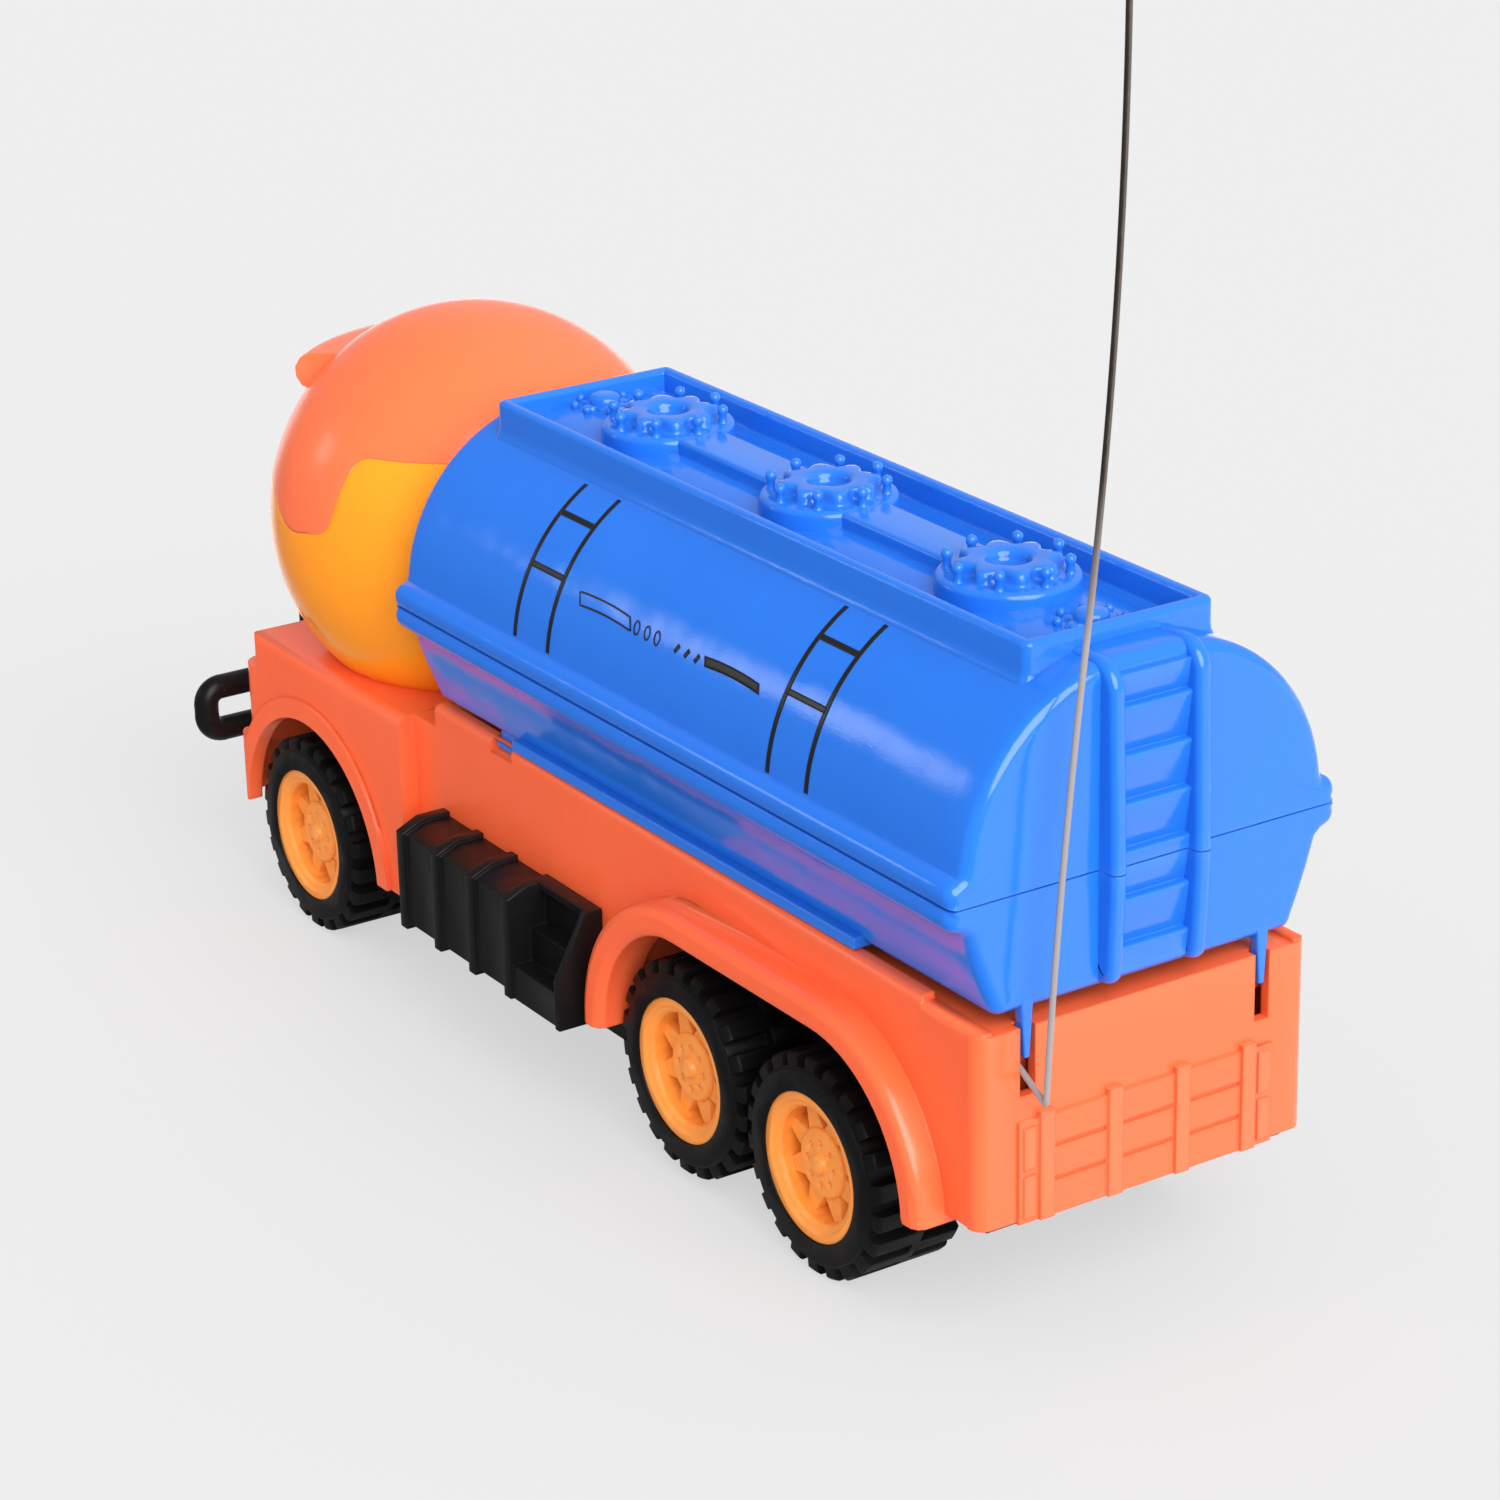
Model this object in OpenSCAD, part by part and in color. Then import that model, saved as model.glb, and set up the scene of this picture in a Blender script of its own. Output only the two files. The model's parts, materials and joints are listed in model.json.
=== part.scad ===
// Toy radio-control water tanker with a bubble cab. Millimetres; +X forward, +Y left, +Z up.
// Lengths along the lorry are measured from the tailgate and shifted by placed().

/* [Wheels] */
// tyre diameter over the lugs
tyre_d = 40; // [36:1:42]
// tyre width
tyre_w = 19.5; // [17:0.5:20]
// outer face of the tyres from the middle of the lorry
tyre_face_y = 35.5; // [35:0.5:36]
// lugs in one row of the tread
lugs = 22; // [18:1:26]
// spokes of a rim
spokes = 8; // [6:1:10]
// rear axle from the tailgate
rear_x = 45.8; // [45:0.2:46.6]
// gap between the rear and the middle tyre
tyre_gap = 0.5; // [0.4:0.1:1]
// height of the middle axle above the rear one
mid_lift = 2.1; // [1.5:0.1:2.5]
// front axle from the tailgate
front_x = 225.4; // [224.8:0.2:226]

/* [Tank] */
// length of the tank
tank_len = 177; // [174:0.5:178]
// wall of the tank and of the body
wall = 2; // [1.6:0.1:2.2]
// half width over the seam bead
bead_y = 39.13; // [38:0.1:40]
// height of the seam between the two half shells
seam_z = 83.8; // [83:0.2:84.6]
// half width of the filler tray
tray_y = 18.78; // [17:0.1:20]
// rim of the filler tray
tray_z = 121.4; // [120.8:0.2:122]
// distance between filler hatches
hatch_pitch = 51.5; // [50:0.5:52]
// radius of a filler hatch
hatch_r = 12.2; // [11:0.1:12.6]
// ladder rail from the middle
rail_y = 8.48; // [7:0.1:9]
// pitch of the ladder steps
step_pitch = 8.5; // [8:0.1:9]

/* [Body] */
// half width at the tailgate
tail_y = 33.65; // [33.4:0.05:34]
// half width behind the nose
waist_y = 31.75; // [31.5:0.05:32]
// half width of the nose
nose_y = 35.2; // [35:0.1:36]
// top of the deck under the tank
deck_z = 60.6; // [60:0.1:61]
// top of the deck under the cab
cab_deck_z = 58; // [57:0.2:59]
// radius of a rear wheel arch
arch_r = 25; // [24.4:0.1:25.4]
// radius of a front wheel arch
nose_arch_r = 27.3; // [27:0.1:28]

/* [Cab] */
// radius of the round cab
cab_r = 40.87; // [39:0.1:41]
// centre of the round cab from the tailgate
cab_x = 212.2; // [211:0.2:213]
// height of that centre
cab_z = 85.8; // [85:0.2:86.6]
// half the angle of the windscreen
screen_a = 50; // [40:1:54]

/* [Fittings] */
// outer face of the side lockers
locker_y = 42.3; // [41.5:0.1:43]
// bull bar tube diameter
bar_d = 5; // [4.4:0.1:5]
// aerial wire diameter
wire_d = 1.1; // [0.9:0.1:1.1]

/* [Drive and steering] */
// gear tooth size (module)
tooth_m = 0.5; // [0.49:0.01:0.5]
// teeth on the rear axle gear
axle_teeth = 28; // [28:1:28]
// teeth on the small end of the compound gear
small_teeth = 12; // [12:1:12]
// teeth on the large end of the compound gear
big_teeth = 32; // [32:1:32]
// teeth on the motor pinion
pinion_teeth = 10; // [10:1:10]
// steel axle diameter
axle_d = 2; // [1.8:0.1:2.2]
// steering arm length
arm_len = 12; // [11.5:0.1:12]
// king pins from the middle
king_y = 12; // [12:0.1:12.2]

/* [Hidden] */
$fn = 64;

run = 0.06;          // radial clearance of a turning fit
seat = 0.02;         // radial clearance of a fixed fit
lap = 0.05;          // side clearance of pieces that sit together
tyre_r = tyre_d / 2;
axle_r = axle_d / 2;
axle_z = tyre_r;
mid_dx = sqrt(pow(tyre_d + tyre_gap, 2) - pow(mid_lift, 2));
mid_axle_x = rear_x + mid_dx;
mid_axle_z = axle_z + mid_lift;
inner_y = tyre_face_y - tyre_w;
bar_x = front_x + 38.6;
bar_r = bar_d / 2;
aerial_x = -6;
wire_r = wire_d / 2;
mid_x = (bar_x + bar_r + aerial_x - wire_r) / 2;
tub_z0 = 26.5;
sill_z = tub_z0 + 0.2;   // the side walls end just above the tailgate
tub_x1 = 184.5;
shoulder_r = 1.6;
side_t = 3;
step_x = 177.4;      // here the deck drops to the one under the cab
rail_z = 62.6;
tank_z0 = 63.3;
tray_x0 = 7.67;
tray_x1 = tank_len - 6.8;
tray_cx = (tray_x0 + tray_x1) / 2;
tray_floor = 116.7;
tray_wall = 2.4;
shell_c = [3.3, 85.75];
shell_r = 33;
hatch_top = 121.3;
foot_x = [20, 150];
foot_y = 20;
leg_y = 23.94;
slot_y = [22.4, 25.4];
floor_z = 12.5;      // underside of the base plate
plate = 1.8;
floor_top = floor_z + plate;
spine_y = 14;
spine_x = 31;
flange_y = 30.4;
tray_half = 26;
bay_x = [118, 176];
bay_y = 24;
bay_roof = 31;
door_half = 22.5;
rear_screws = [[8, 20], [8, -20]];
bay_post_x = bay_x[0] - 4.8;
mid_screws = [[bay_post_x, 20.8], [bay_post_x, -20.8], [188, 20], [188, -20]];
nose_screws = [[247, 5.5], [247, -5.5]];
nose_floor = 20;
light_y = 25;
light_z = 41.5;
case_y = [1, 2.2];
cover_y = [11.3, 12.3];
comp_d = tooth_m * (axle_teeth + small_teeth) / 2;
comp_x = rear_x + comp_d * cos(70);
comp_z = axle_z + comp_d * sin(70);
motor_d = tooth_m * (big_teeth + pinion_teeth) / 2;
motor_x = comp_x + motor_d * cos(40);
motor_z = comp_z + motor_d * sin(40);
motor_r = 6;
rod_x = front_x - arm_len;
rod_z = [24.5, 26];
bridge_z = [26.2, 28];
post_y = 6;
coil_y = [5, 9];
magnet_z = [15.5, 22.4];
knob_x = 185;

orange = [1, 0.3, 0.13];
blue = [0.1, 0.4, 0.9];
amber = [1, 0.62, 0.1];
black = [0.08, 0.08, 0.08];
steel = [0.62, 0.62, 0.6];
white = [0.9, 0.9, 0.88];

module placed() translate([-mid_x, 0, 0]) children();
module both() { children(); mirror([0, 1, 0]) children(); }
module box(x, y, z) translate([x[0], y[0], z[0]]) cube([x[1] - x[0], y[1] - y[0], z[1] - z[0]]);
// a flat drawing of (y, z) pushed forward between two stations
module along_x(x0, x1) translate([x0, 0, 0]) rotate([90, 0, 90]) linear_extrude(x1 - x0) children();
// a flat drawing of (x, z) pushed sideways between two stations
module along_y(y0, y1) translate([0, y1, 0]) rotate([90, 0, 0]) linear_extrude(y1 - y0) children();
module rod_y(x, z, r, y0, y1) translate([x, y1, z]) rotate([90, 0, 0]) cylinder(r = r, h = y1 - y0);
module rod_x(y, z, r, x0, x1) translate([x0, y, z]) rotate([0, 90, 0]) cylinder(r = r, h = x1 - x0);
module post(x, y, r, z0, z1) translate([x, y, z0]) cylinder(r = r, h = z1 - z0);
module at_wheel(x, z) translate([x, 0, z]) rotate([-90, 0, 0]) children();

// ---------------------------------------------------------------- wheels
// Drawn with the turning axis on Z, the outer face at z = tyre_face_y.
rim_r = 12.6;
lip_r = 13.35;
tread_r = tyre_r - 2.3;   // between the lugs
module lug_row(z0, z1, turn) translate([0, 0, z0]) linear_extrude(z1 - z0)
  polygon([for (i = [0:lugs - 1], k = [[tread_r - 0.4, -0.28], [tyre_r + 0.3, -0.26], [tyre_r + 0.3, 0.26], [tread_r - 0.4, 0.28]])
    k[0] * [cos((i + k[1] + turn) * 360 / lugs), sin((i + k[1] + turn) * 360 / lugs)]]);
module tyre() intersection() {
  rotate_extrude() polygon([[lip_r + lap, tyre_face_y], [lip_r + lap, 32.2], [rim_r + lap, 32.2],
    [rim_r + lap, 19.2], [lip_r + lap, 19.2], [lip_r + lap, inner_y], [17.2, inner_y],
    [17.5, inner_y + 0.5], [tyre_r - 0.5, inner_y + 0.7], [tyre_r, inner_y + 1.3], [tyre_r, tyre_face_y - 1.3],
    [tyre_r - 0.5, tyre_face_y - 0.7], [17.5, tyre_face_y - 0.5], [17.2, tyre_face_y]]);
  union() {
    translate([0, 0, inner_y]) cylinder(r = tread_r, h = tyre_w);
    lug_row(inner_y, inner_y + tyre_w * 0.54, 0);
    lug_row(inner_y + tyre_w * 0.46, tyre_face_y, 0.5);
  }
}
hub_r = 6.3;
hub_y = 33;
hub_in = spine_y + 0.5;
slot_a = 24;         // angle that a slot between two spokes takes up
module rim(bore_r, snap) difference() {
  union() {
    rotate_extrude() polygon([[0, hub_in], [3, hub_in], [3, 26], [10.1, 26], [10.1, 19.4],
      [rim_r - 1.8, 16.4], [lip_r, 16.4], [lip_r, 19.1], [rim_r, 19.25], [rim_r, 32.15],
      [lip_r, 32.25], [lip_r, 35.2], [12, 35.2], [11.5, 34.7], [10.8, 34.5], [10.3, 33.8],
      [10.1, 28], [hub_r, 28], [hub_r, hub_y - 0.5], [hub_r - 0.5, hub_y], [1.9, hub_y],
      [1.5, hub_y + 0.9], [0, hub_y + 0.9]]);
    for (i = [0:spokes - 1]) rotate([0, 0, (i + 0.5) * 360 / spokes]) translate([0, 0, 27])
      linear_extrude(5.2) polygon([[5, -2.3], [10.3, -0.7], [10.3, 0.7], [5, 2.3]]);
  }
  for (i = [0:spokes - 1]) rotate([0, 0, i * 360 / spokes]) {
    rotate([0, 0, -slot_a / 2]) rotate_extrude(angle = slot_a) translate([6.7, 25]) square([2.9, 4]);
    translate([3.9, 0, hub_y - 0.4]) cylinder(r = 0.55, h = 1, $fn = 24);
  }
  translate([0, 0, hub_in - 1]) cylinder(r = bore_r, h = 31.2 - hub_in + 1);
  if (snap) translate([0, 0, 28.9]) cylinder(r = axle_r + 0.5, h = 2.3);
}
module fixed_rim(x, z) placed() color(amber) translate([x, 0, z]) rotate([-90, 0, 0]) rim(axle_r + seat, false);
module axle_at(x, z) placed() color(steel) rod_y(x, z, axle_r, -31, 31);
module rear_axle() axle_at(rear_x, axle_z);
module middle_axle() axle_at(mid_axle_x, mid_axle_z);
module rear_rim_left() fixed_rim(rear_x, axle_z);
module rear_rim_right() mirror([0, 1, 0]) rear_rim_left();
module middle_rim_left() fixed_rim(mid_axle_x, mid_axle_z);
module middle_rim_right() mirror([0, 1, 0]) middle_rim_left();
module front_rim_left() placed() color(amber) at_wheel(front_x, axle_z) rim(axle_r + run, true);
module front_rim_right() mirror([0, 1, 0]) front_rim_left();
module tyre_at(x, z) placed() color(black) at_wheel(x, z) tyre();
module rear_tyre_left() tyre_at(rear_x, axle_z);
module rear_tyre_right() mirror([0, 1, 0]) rear_tyre_left();
module middle_tyre_left() tyre_at(mid_axle_x, mid_axle_z);
module middle_tyre_right() mirror([0, 1, 0]) middle_tyre_left();
module front_tyre_left() tyre_at(front_x, axle_z);
module front_tyre_right() mirror([0, 1, 0]) front_tyre_left();

// ---------------------------------------------------------------- tank
module cab_ball(r) translate([cab_x, 0, cab_z]) sphere(r = r, $fn = 96);
module upper_outline(t) intersection() {
  union() {
    for (s = [-1, 1]) translate([s * shell_c[0], shell_c[1]]) circle(r = shell_r - t);
    translate([-shell_c[0], shell_c[1]]) square([2 * shell_c[0], shell_r - t]);
  }
  translate([-50, seam_z - 1]) square([100, 60]);
}
module upper_solid() {
  intersection() {
    along_x(0, tank_len) upper_outline(0);
    box([-1, tank_len + 1], [-50, 50], [seam_z, 130]);
  }
  along_x(0, tank_len) polygon([[-bead_y, seam_z], [bead_y, seam_z], [bead_y, 86.5], [bead_y - 0.8, 88],
    [36.3, 88.3], [-36.3, 88.3], [-bead_y + 0.8, 88], [-bead_y, 86.5]]);
  box([tray_x0, tray_x1], [-tray_y, tray_y], [110, tray_z]);
}
module upper_cavity() difference() {
  intersection() {
    along_x(wall, tank_len - wall) upper_outline(wall);
    box([0, tank_len], [-50, 50], [seam_z - 1, tray_floor - wall]);
  }
  cab_ball(cab_r + 0.6 + wall);
}
module hatch(x) translate([x, 0, tray_floor - 0.2]) {
  cylinder(r = hatch_r, h = hatch_top - tray_floor + 0.2);
  translate([0, 0, 4]) difference() {
    cylinder(r = 8, h = 3.2);
    translate([0, 0, 1.6]) cylinder(r = 3.5, h = 3, $fn = 32);
    for (i = [0:7]) rotate([0, 0, i * 45]) translate([9.1, 0, 0.9]) cylinder(r = 1.9, h = 3, $fn = 24);
  }
  for (i = [0:7]) rotate([0, 0, i * 45]) translate([10.1, 0, 4]) {
    cylinder(r = 0.7, h = 2.8, $fn = 20);
    translate([0, 0, 2.9]) sphere(r = 1, $fn = 20);
  }
}
module vent(x) translate([x, 0, tray_floor - 0.2]) {
  cylinder(r = 6, h = 1.2);
  for (i = [0:5]) rotate([0, 0, i * 60]) translate([0, -0.9, 0]) cube([5, 1.8, 2.6]);
  cylinder(r = 3, h = 4.4);
  for (i = [0:7]) rotate([0, 0, i * 45 + 22.5]) translate([5.2, 0, 0]) {
    cylinder(r = 0.5, h = 2.6, $fn = 16);
    translate([0, 0, 2.6]) sphere(r = 0.7, $fn = 16);
  }
}
// Ladder in side view: two rails that curl over the end, steps like shingles between them.
module rail_side() {
  polygon([[1, 60], [-3, 65], [-3.9, seam_z], [-3.1, 113.6], [1.5, 113.6], [1.5, 118]]);
  intersection() {
    translate([2.4, 113.5]) circle(r = 5.5);
    translate([-5, 113.5]) square([7.4, 10]);
  }
  translate([2.4, 114]) square([tray_x0 - 2.4 + 1, 5]);
}
module step_side(n) {
  z = seam_z - 1.6 + n * step_pitch;
  out = 1.5 - 0.15 * abs(n);
  polygon([[1, z - step_pitch + 0.05], [-out + 0.9, z - step_pitch + 0.05], [-out - 0.2, z - 0.6], [-out + 0.2, z], [1, z]]);
}
module ladder(z0, z1, ns) intersection() {
  union() {
    both() along_y(rail_y - 1.5, rail_y + 1.5) rail_side();
    along_y(-rail_y, rail_y) for (n = ns) step_side(n);
  }
  box([-10, 20], [-20, 20], [z0, z1]);
}
module tank_upper() placed() color(blue) difference() {
  union() {
    difference() {
      union() {
        upper_solid();
        ladder(seam_z, 130, [1, 2, 3, 4]);
      }
      upper_cavity();
      box([tray_x0 + tray_wall, tray_x1 - tray_wall], [-tray_y + tray_wall, tray_y - tray_wall], [tray_floor, 130]);
    }
    for (k = [-1, 0, 1]) hatch(tray_cx + k * hatch_pitch);
    box([tray_cx - hatch_pitch, tray_cx + hatch_pitch], [-5, 5], [tray_floor - 0.2, hatch_top]);
    for (k = [-1, 1]) vent(tray_cx + k * ((tray_x1 - tray_x0) / 2 - 7.76));
  }
  cab_ball(cab_r + 0.6);
}
lip_y = 32.6;
module lower_outline() polygon([for (s = [1, -1]) for (p = s > 0 ?
  [[bead_y, seam_z], [bead_y, 80], [bead_y - 0.8, 78.6], [35.4, 78.3], [30.6, 64.6], [29.3, tank_z0]] :
  [[29.3, tank_z0], [30.6, 64.6], [35.4, 78.3], [bead_y - 0.8, 78.6], [bead_y, 80], [bead_y, seam_z]])
  [s * p[0], p[1]]]);
module tank_lower() placed() color(blue) difference() {
  union() {
    along_x(0, tank_len) lower_outline();
    ladder(64, seam_z, [-1, 0, 1]);
    both() {
      box([4, 150], [lip_y, lip_y + 1.55], [seam_z - 1, seam_z + 2.4]);
      box([36, 146], [28.5, 32.4], [62.75, 65]);
      box([148, 154], [28.5, 32.2], [60.9, 62]);
      box([148, 154], [28.5, 29.9], [60.9, 64]);
      for (x = foot_x) {
        post(x, foot_y, 3.5, deck_z, tank_z0 + 1);
        post(x, foot_y, 1.6, deck_z - 3, deck_z + 1);
      }
      along_x(0, 2.2) polygon([[leg_y - 1.3, 64], [leg_y - 0.7, 55], [leg_y + 0.6, 55], [leg_y + 1.1, 64]]);
    }
  }
  difference() {
    along_x(wall, tank_len - wall)
      polygon([[-lip_y, 90], [-lip_y, 78], [-28.4, tank_z0 + wall], [28.4, tank_z0 + wall], [lip_y, 78], [lip_y, 90]]);
    cab_ball(cab_r + 0.6 + wall);
  }
  cab_ball(cab_r + 0.6);
}

// ---------------------------------------------------------------- cab
module cab_skin(r0, r1) difference() {
  cab_ball(r1);
  cab_ball(r0);
  box([cab_x - 60, cab_x + 60], [-60, 60], [0, cab_deck_z]);
}
// Side view of what the cap covers: all above a level, and a lobe that leans by lobe_a on the cheek.
lobe_a = 9;
lobe_r = 3.6;
lobe_x = cab_x - 0.262 * cab_r;
lobe_z = cab_z + 0.1126 * cab_r;
cap_z = cab_z + 0.494 * cab_r;
neck = [lobe_x - (cap_z - lobe_r - lobe_z) * tan(lobe_a) - lobe_r / cos(lobe_a), cap_z - lobe_r];
module cap_zone() along_y(-60, 60) {
  translate([cab_x - 60, cap_z]) square([130, 60]);
  translate([lobe_x, lobe_z]) rotate(lobe_a) {
    translate([lobe_r, 0]) square([70, 30]);
    translate([0, lobe_r]) square([lobe_r + 1, 30]);
    translate([lobe_r, lobe_r]) circle(r = lobe_r);
  }
  difference() {
    polygon([neck + [0, lobe_r + 1], neck + [0, lobe_r], neck + lobe_r * [cos(lobe_a), sin(lobe_a)],
      neck + lobe_r * [1.5, 0], neck + lobe_r * [1.5, 2]]);
    translate(neck) circle(r = lobe_r);
  }
}
module screen_zone(g) difference() {
  translate([cab_x, 0, 67 + g]) rotate([0, 0, -screen_a + g]) rotate_extrude(angle = 2 * (screen_a - g))
    square([50, 40]);
  translate([0, 0, -2 - g]) cap_zone();
}
module cab_shell() placed() color(amber) difference() {
  cab_skin(cab_r - 1.8, cab_r);
  cap_zone();
  screen_zone(0);
}
module cab_cap() placed() color(orange) {
  intersection() { cab_skin(cab_r - 1.8, cab_r); cap_zone(); }
  translate([cab_x, 0, cab_z]) rotate([0, 0, -48]) rotate_extrude(angle = 96)
    polygon(cab_r * [[0.842, 0.497], [0.888, 0.512], [0.918, 0.552], [0.925, 0.6], [0.905, 0.645], [0.87, 0.668],
      [0.82, 0.68], [0.7, 0.69], [0.734, 0.612]]);
}
module windscreen() placed() color([0.1, 0.12, 0.15, 0.7]) {
  intersection() { cab_skin(cab_r - 3, cab_r - 0.5); screen_zone(0.1); }
  intersection() { cab_skin(cab_r - 3, cab_r - 1.82); screen_zone(-1.6); }
}

// ---------------------------------------------------------------- body
taper_a = atan((tail_y - waist_y) / 176);
tub_end = tub_x1 + 3;
end_y = tail_y - tub_end * tan(taper_a);
module tub_plan(t) polygon([[t, tail_y - t], [tub_end, end_y - t], [tub_end, -end_y + t], [t, -tail_y + t]]);
// the part of the tub under the tank, whose deck is higher than the one under the cab
module tub_block(t, x1, z0, z1) intersection() {
  translate([0, 0, z0]) linear_extrude(z1 - z0) tub_plan(t);
  box([-1, x1], [-50, 50], [z0, z1]);
}
// a side wall with its rounded rail, turned to run along the tapered side
module shoulder(x0, x1, top) along_x(x0, x1) {
  translate([-side_t, sill_z]) square([side_t - shoulder_r, top - sill_z]);
  translate([-side_t, sill_z]) square([side_t, top - shoulder_r - sill_z]);
  translate([-shoulder_r, top - shoulder_r]) circle(r = shoulder_r);
}
module tub_side() translate([0, tail_y, 0]) rotate([0, 0, -taper_a]) {
  shoulder(0.4, 16, deck_z + 0.75);
  shoulder(16, 176, rail_z);
  along_x(176, tub_end) translate([-side_t, sill_z]) square([side_t, cab_deck_z - sill_z]);
}
// what is cut away to leave a long edge rounded: e is the corner, r the radius
module edge_x(y, z, r) difference() {
  box([100, 300], [y - r, y + 1], [z - r, z + 1]);
  rod_x(y - r, z - r, r, 90, 310);
}
module edge_y(x, z, r) difference() {
  box([x - r, x + 1], [-50, 50], [z - r, z + 1]);
  rod_y(x - r, z - r, r, -60, 60);
}
module edge_z(x, y, r) difference() {
  box([x - 1, x + r], [y - r, y + 1], [0, 80]);
  post(x + r, y - r, r, -5, 90);
}
module nose_plan(x1, t, r) {
  x0 = tub_x1 + t;
  y = nose_y - t;
  translate([x0, -y]) square([x1 - t - x0 - r, 2 * y]);
  translate([x0, -y + r]) square([x1 - t - x0, 2 * (y - r)]);
  for (s = [-1, 1]) translate([x1 - t - r, s * (y - r)]) circle(r = r);
}
module arches(r) {
  translate([40, 23.5]) circle(r = r);
  translate([82.3, 23.5]) circle(r = r);
  translate([40, 15]) square([42.3, 8.5 + r]);
  translate([40 - r, 15]) square([42.3 + 2 * r, 8.5]);
}
module nose_arch(r) translate([222, 18]) circle(r = r);
// wheel arch lip: a rounded rim turned round both ends of the arch, straight between them
lip_out = 39.2;
lip_w = 6;
lip_in = waist_y - 1.2;
module lip_section() polygon([[-0.5, lip_in], [-0.5, lip_out - 2.4], [0.6, lip_out - 0.6], [1.9, lip_out],
  [lip_w - 1.9, lip_out], [lip_w - 0.6, lip_out - 0.6], [lip_w, lip_out - 1.8], [lip_w, lip_in]]);
module arch_lip() {
  at_wheel(40, 23.5) rotate(-177.5) rotate_extrude(angle = 87.5) translate([arch_r, 0]) lip_section();
  at_wheel(82.3, 23.5) rotate(-90) rotate_extrude(angle = 91.2) translate([arch_r, 0]) lip_section();
  translate([40, 0, 23.5 + arch_r]) rotate([90, 0, 90]) linear_extrude(42.3) mirror([1, -1]) lip_section();
}
bars_y = [-20.7, -6.9, 6.9, 20.7];
module relief() difference() {
  union() {
    box([-0.6, 0.2], [-26, 26], [26.2, 44.2]);
    for (y = bars_y) box([-1.2, 0.2], [y - 1.4, y + 1.4], [26.2, 45.4]);
    both() for (z = [27.2, 35.8]) box([-1, 0.2], [22.8, 25.2], [z, z + 7.4]);
  }
  for (i = [0:2], z = [32.2, 38.2]) box([-0.8, -0.1], [bars_y[i] + 1.6, bars_y[i + 1] - 1.6], [z, z + 0.7]);
}
module body_shell() placed() color(orange) difference() {
  union() {
    difference() {
      union() {
        translate([0, 0, tub_z0 + 1]) linear_extrude(cab_deck_z - tub_z0 - 1) tub_plan(1.5);
        tub_block(1.5, step_x, cab_deck_z - 1, deck_z);
        box([0, 3], [-tail_y, tail_y], [tub_z0, deck_z]);
        both() tub_side();
        translate([0, 0, nose_floor]) linear_extrude(13.5) nose_plan(256, 0, 5);
        translate([0, 0, 33]) linear_extrude(17) nose_plan(251.5, 0, 5);
        translate([0, 0, 49]) linear_extrude(cab_deck_z - 49) nose_plan(247, 0, 4);
        both() {
          arch_lip();
          along_y(nose_y - 1, nose_y + 1) intersection() {
            difference() { nose_arch(nose_arch_r + 4); nose_arch(nose_arch_r); }
            translate([150, nose_floor]) square([100, 60]);
          }
        }
      }
      translate([0, 0, tub_z0 - 1]) linear_extrude(cab_deck_z - wall - tub_z0 + 1) tub_plan(wall);
      tub_block(wall, step_x - wall, cab_deck_z - wall - 1, deck_z - wall);
      translate([0, 0, nose_floor - 1]) linear_extrude(8) tub_plan(wall);
      translate([0, 0, nose_floor - 1]) linear_extrude(12.5) nose_plan(256, wall, 3);
      translate([0, 0, 21]) linear_extrude(27) nose_plan(251.5, wall, 3);
      translate([0, 0, 21]) linear_extrude(cab_deck_z - wall - 21) nose_plan(247, wall, 2);
      both() {
        along_y(30.2, 45) arches(arch_r);
        along_y(30.2, 45) nose_arch(nose_arch_r);
      }
    }
    both() {
      box([108, 110], [spine_y + 0.6, waist_y], [tub_z0 + 0.1, deck_z - 1]);
      box([4.5, 9.5], [21, 28], [52, deck_z - 1]);
    }
    for (p = rear_screws) post(p[0], p[1], 3, tub_z0, deck_z - 1);
    for (p = mid_screws) post(p[0], p[1], 3, floor_top, deck_z - (p[0] > 150 ? 3 : 1));
    for (p = nose_screws) post(p[0] - 3.5, p[1], 2.6, nose_floor + 1.6, cab_deck_z - 1);
    relief();
  }
  both() {
    edge_z(0, tail_y, 2.6);
    edge_x(nose_y, cab_deck_z, 2.4);
  }
  edge_y(247, cab_deck_z, 3.6);
  edge_y(256, 33.5, 1.2);
  for (z = [36, 39.4, 42.8]) box([250.9, 253], [-17, 17], [z, z + 1.8]);
  for (p = rear_screws) post(p[0], p[1], 0.9, tub_z0 - 1, tub_z0 + 9);
  for (p = mid_screws) post(p[0], p[1], 0.9, floor_top - 1, floor_top + 9);
  for (p = nose_screws) post(p[0] - 3.5, p[1], 0.9, nose_floor, nose_floor + 10.6);
  both() {
    box([-2, 2.6], slot_y, [48.6, 64]);
    box([147, 155], [28.2, 40], [59.8, 62.4]);
    for (x = foot_x) post(x, foot_y, 1.65, deck_z - 5, deck_z + 1);
    rod_x(light_y, light_z, 4, 240, 260);
  }
  aerial_stub(wire_r + seat, 8.6);
}

// ---------------------------------------------------------------- fittings
module headlight_lens_left() placed() color(white) {
  rod_x(light_y, light_z, 5.2, 251.5, 252.6);
  rod_x(light_y, light_z, 3.95, 249.5, 251.6);
}
module headlight_lens_right() mirror([0, 1, 0]) headlight_lens_left();
module headlight_leds() placed() color(white) both() {
  rod_x(light_y, light_z, 2.5, 245.5, 249.5);
  rod_x(light_y, light_z, 3, 244.5, 245.6);
}
bead = 0.04;         // a joint of two bent tubes stands out by this much
module bar_bend(y, z, turn, bend, r) translate([bar_x, y, z]) rotate([90, 0, 90]) rotate(turn) {
  rotate_extrude(angle = 90) translate([bend, 0]) circle(r = r, $fn = 32);
  for (a = [0, 90]) rotate(a) translate([bend, 0, 0]) sphere(r = r + bead, $fn = 32);
}
loop_y = 37.4;
loop_z = 35.3;
loop_h = 1.3;
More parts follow.
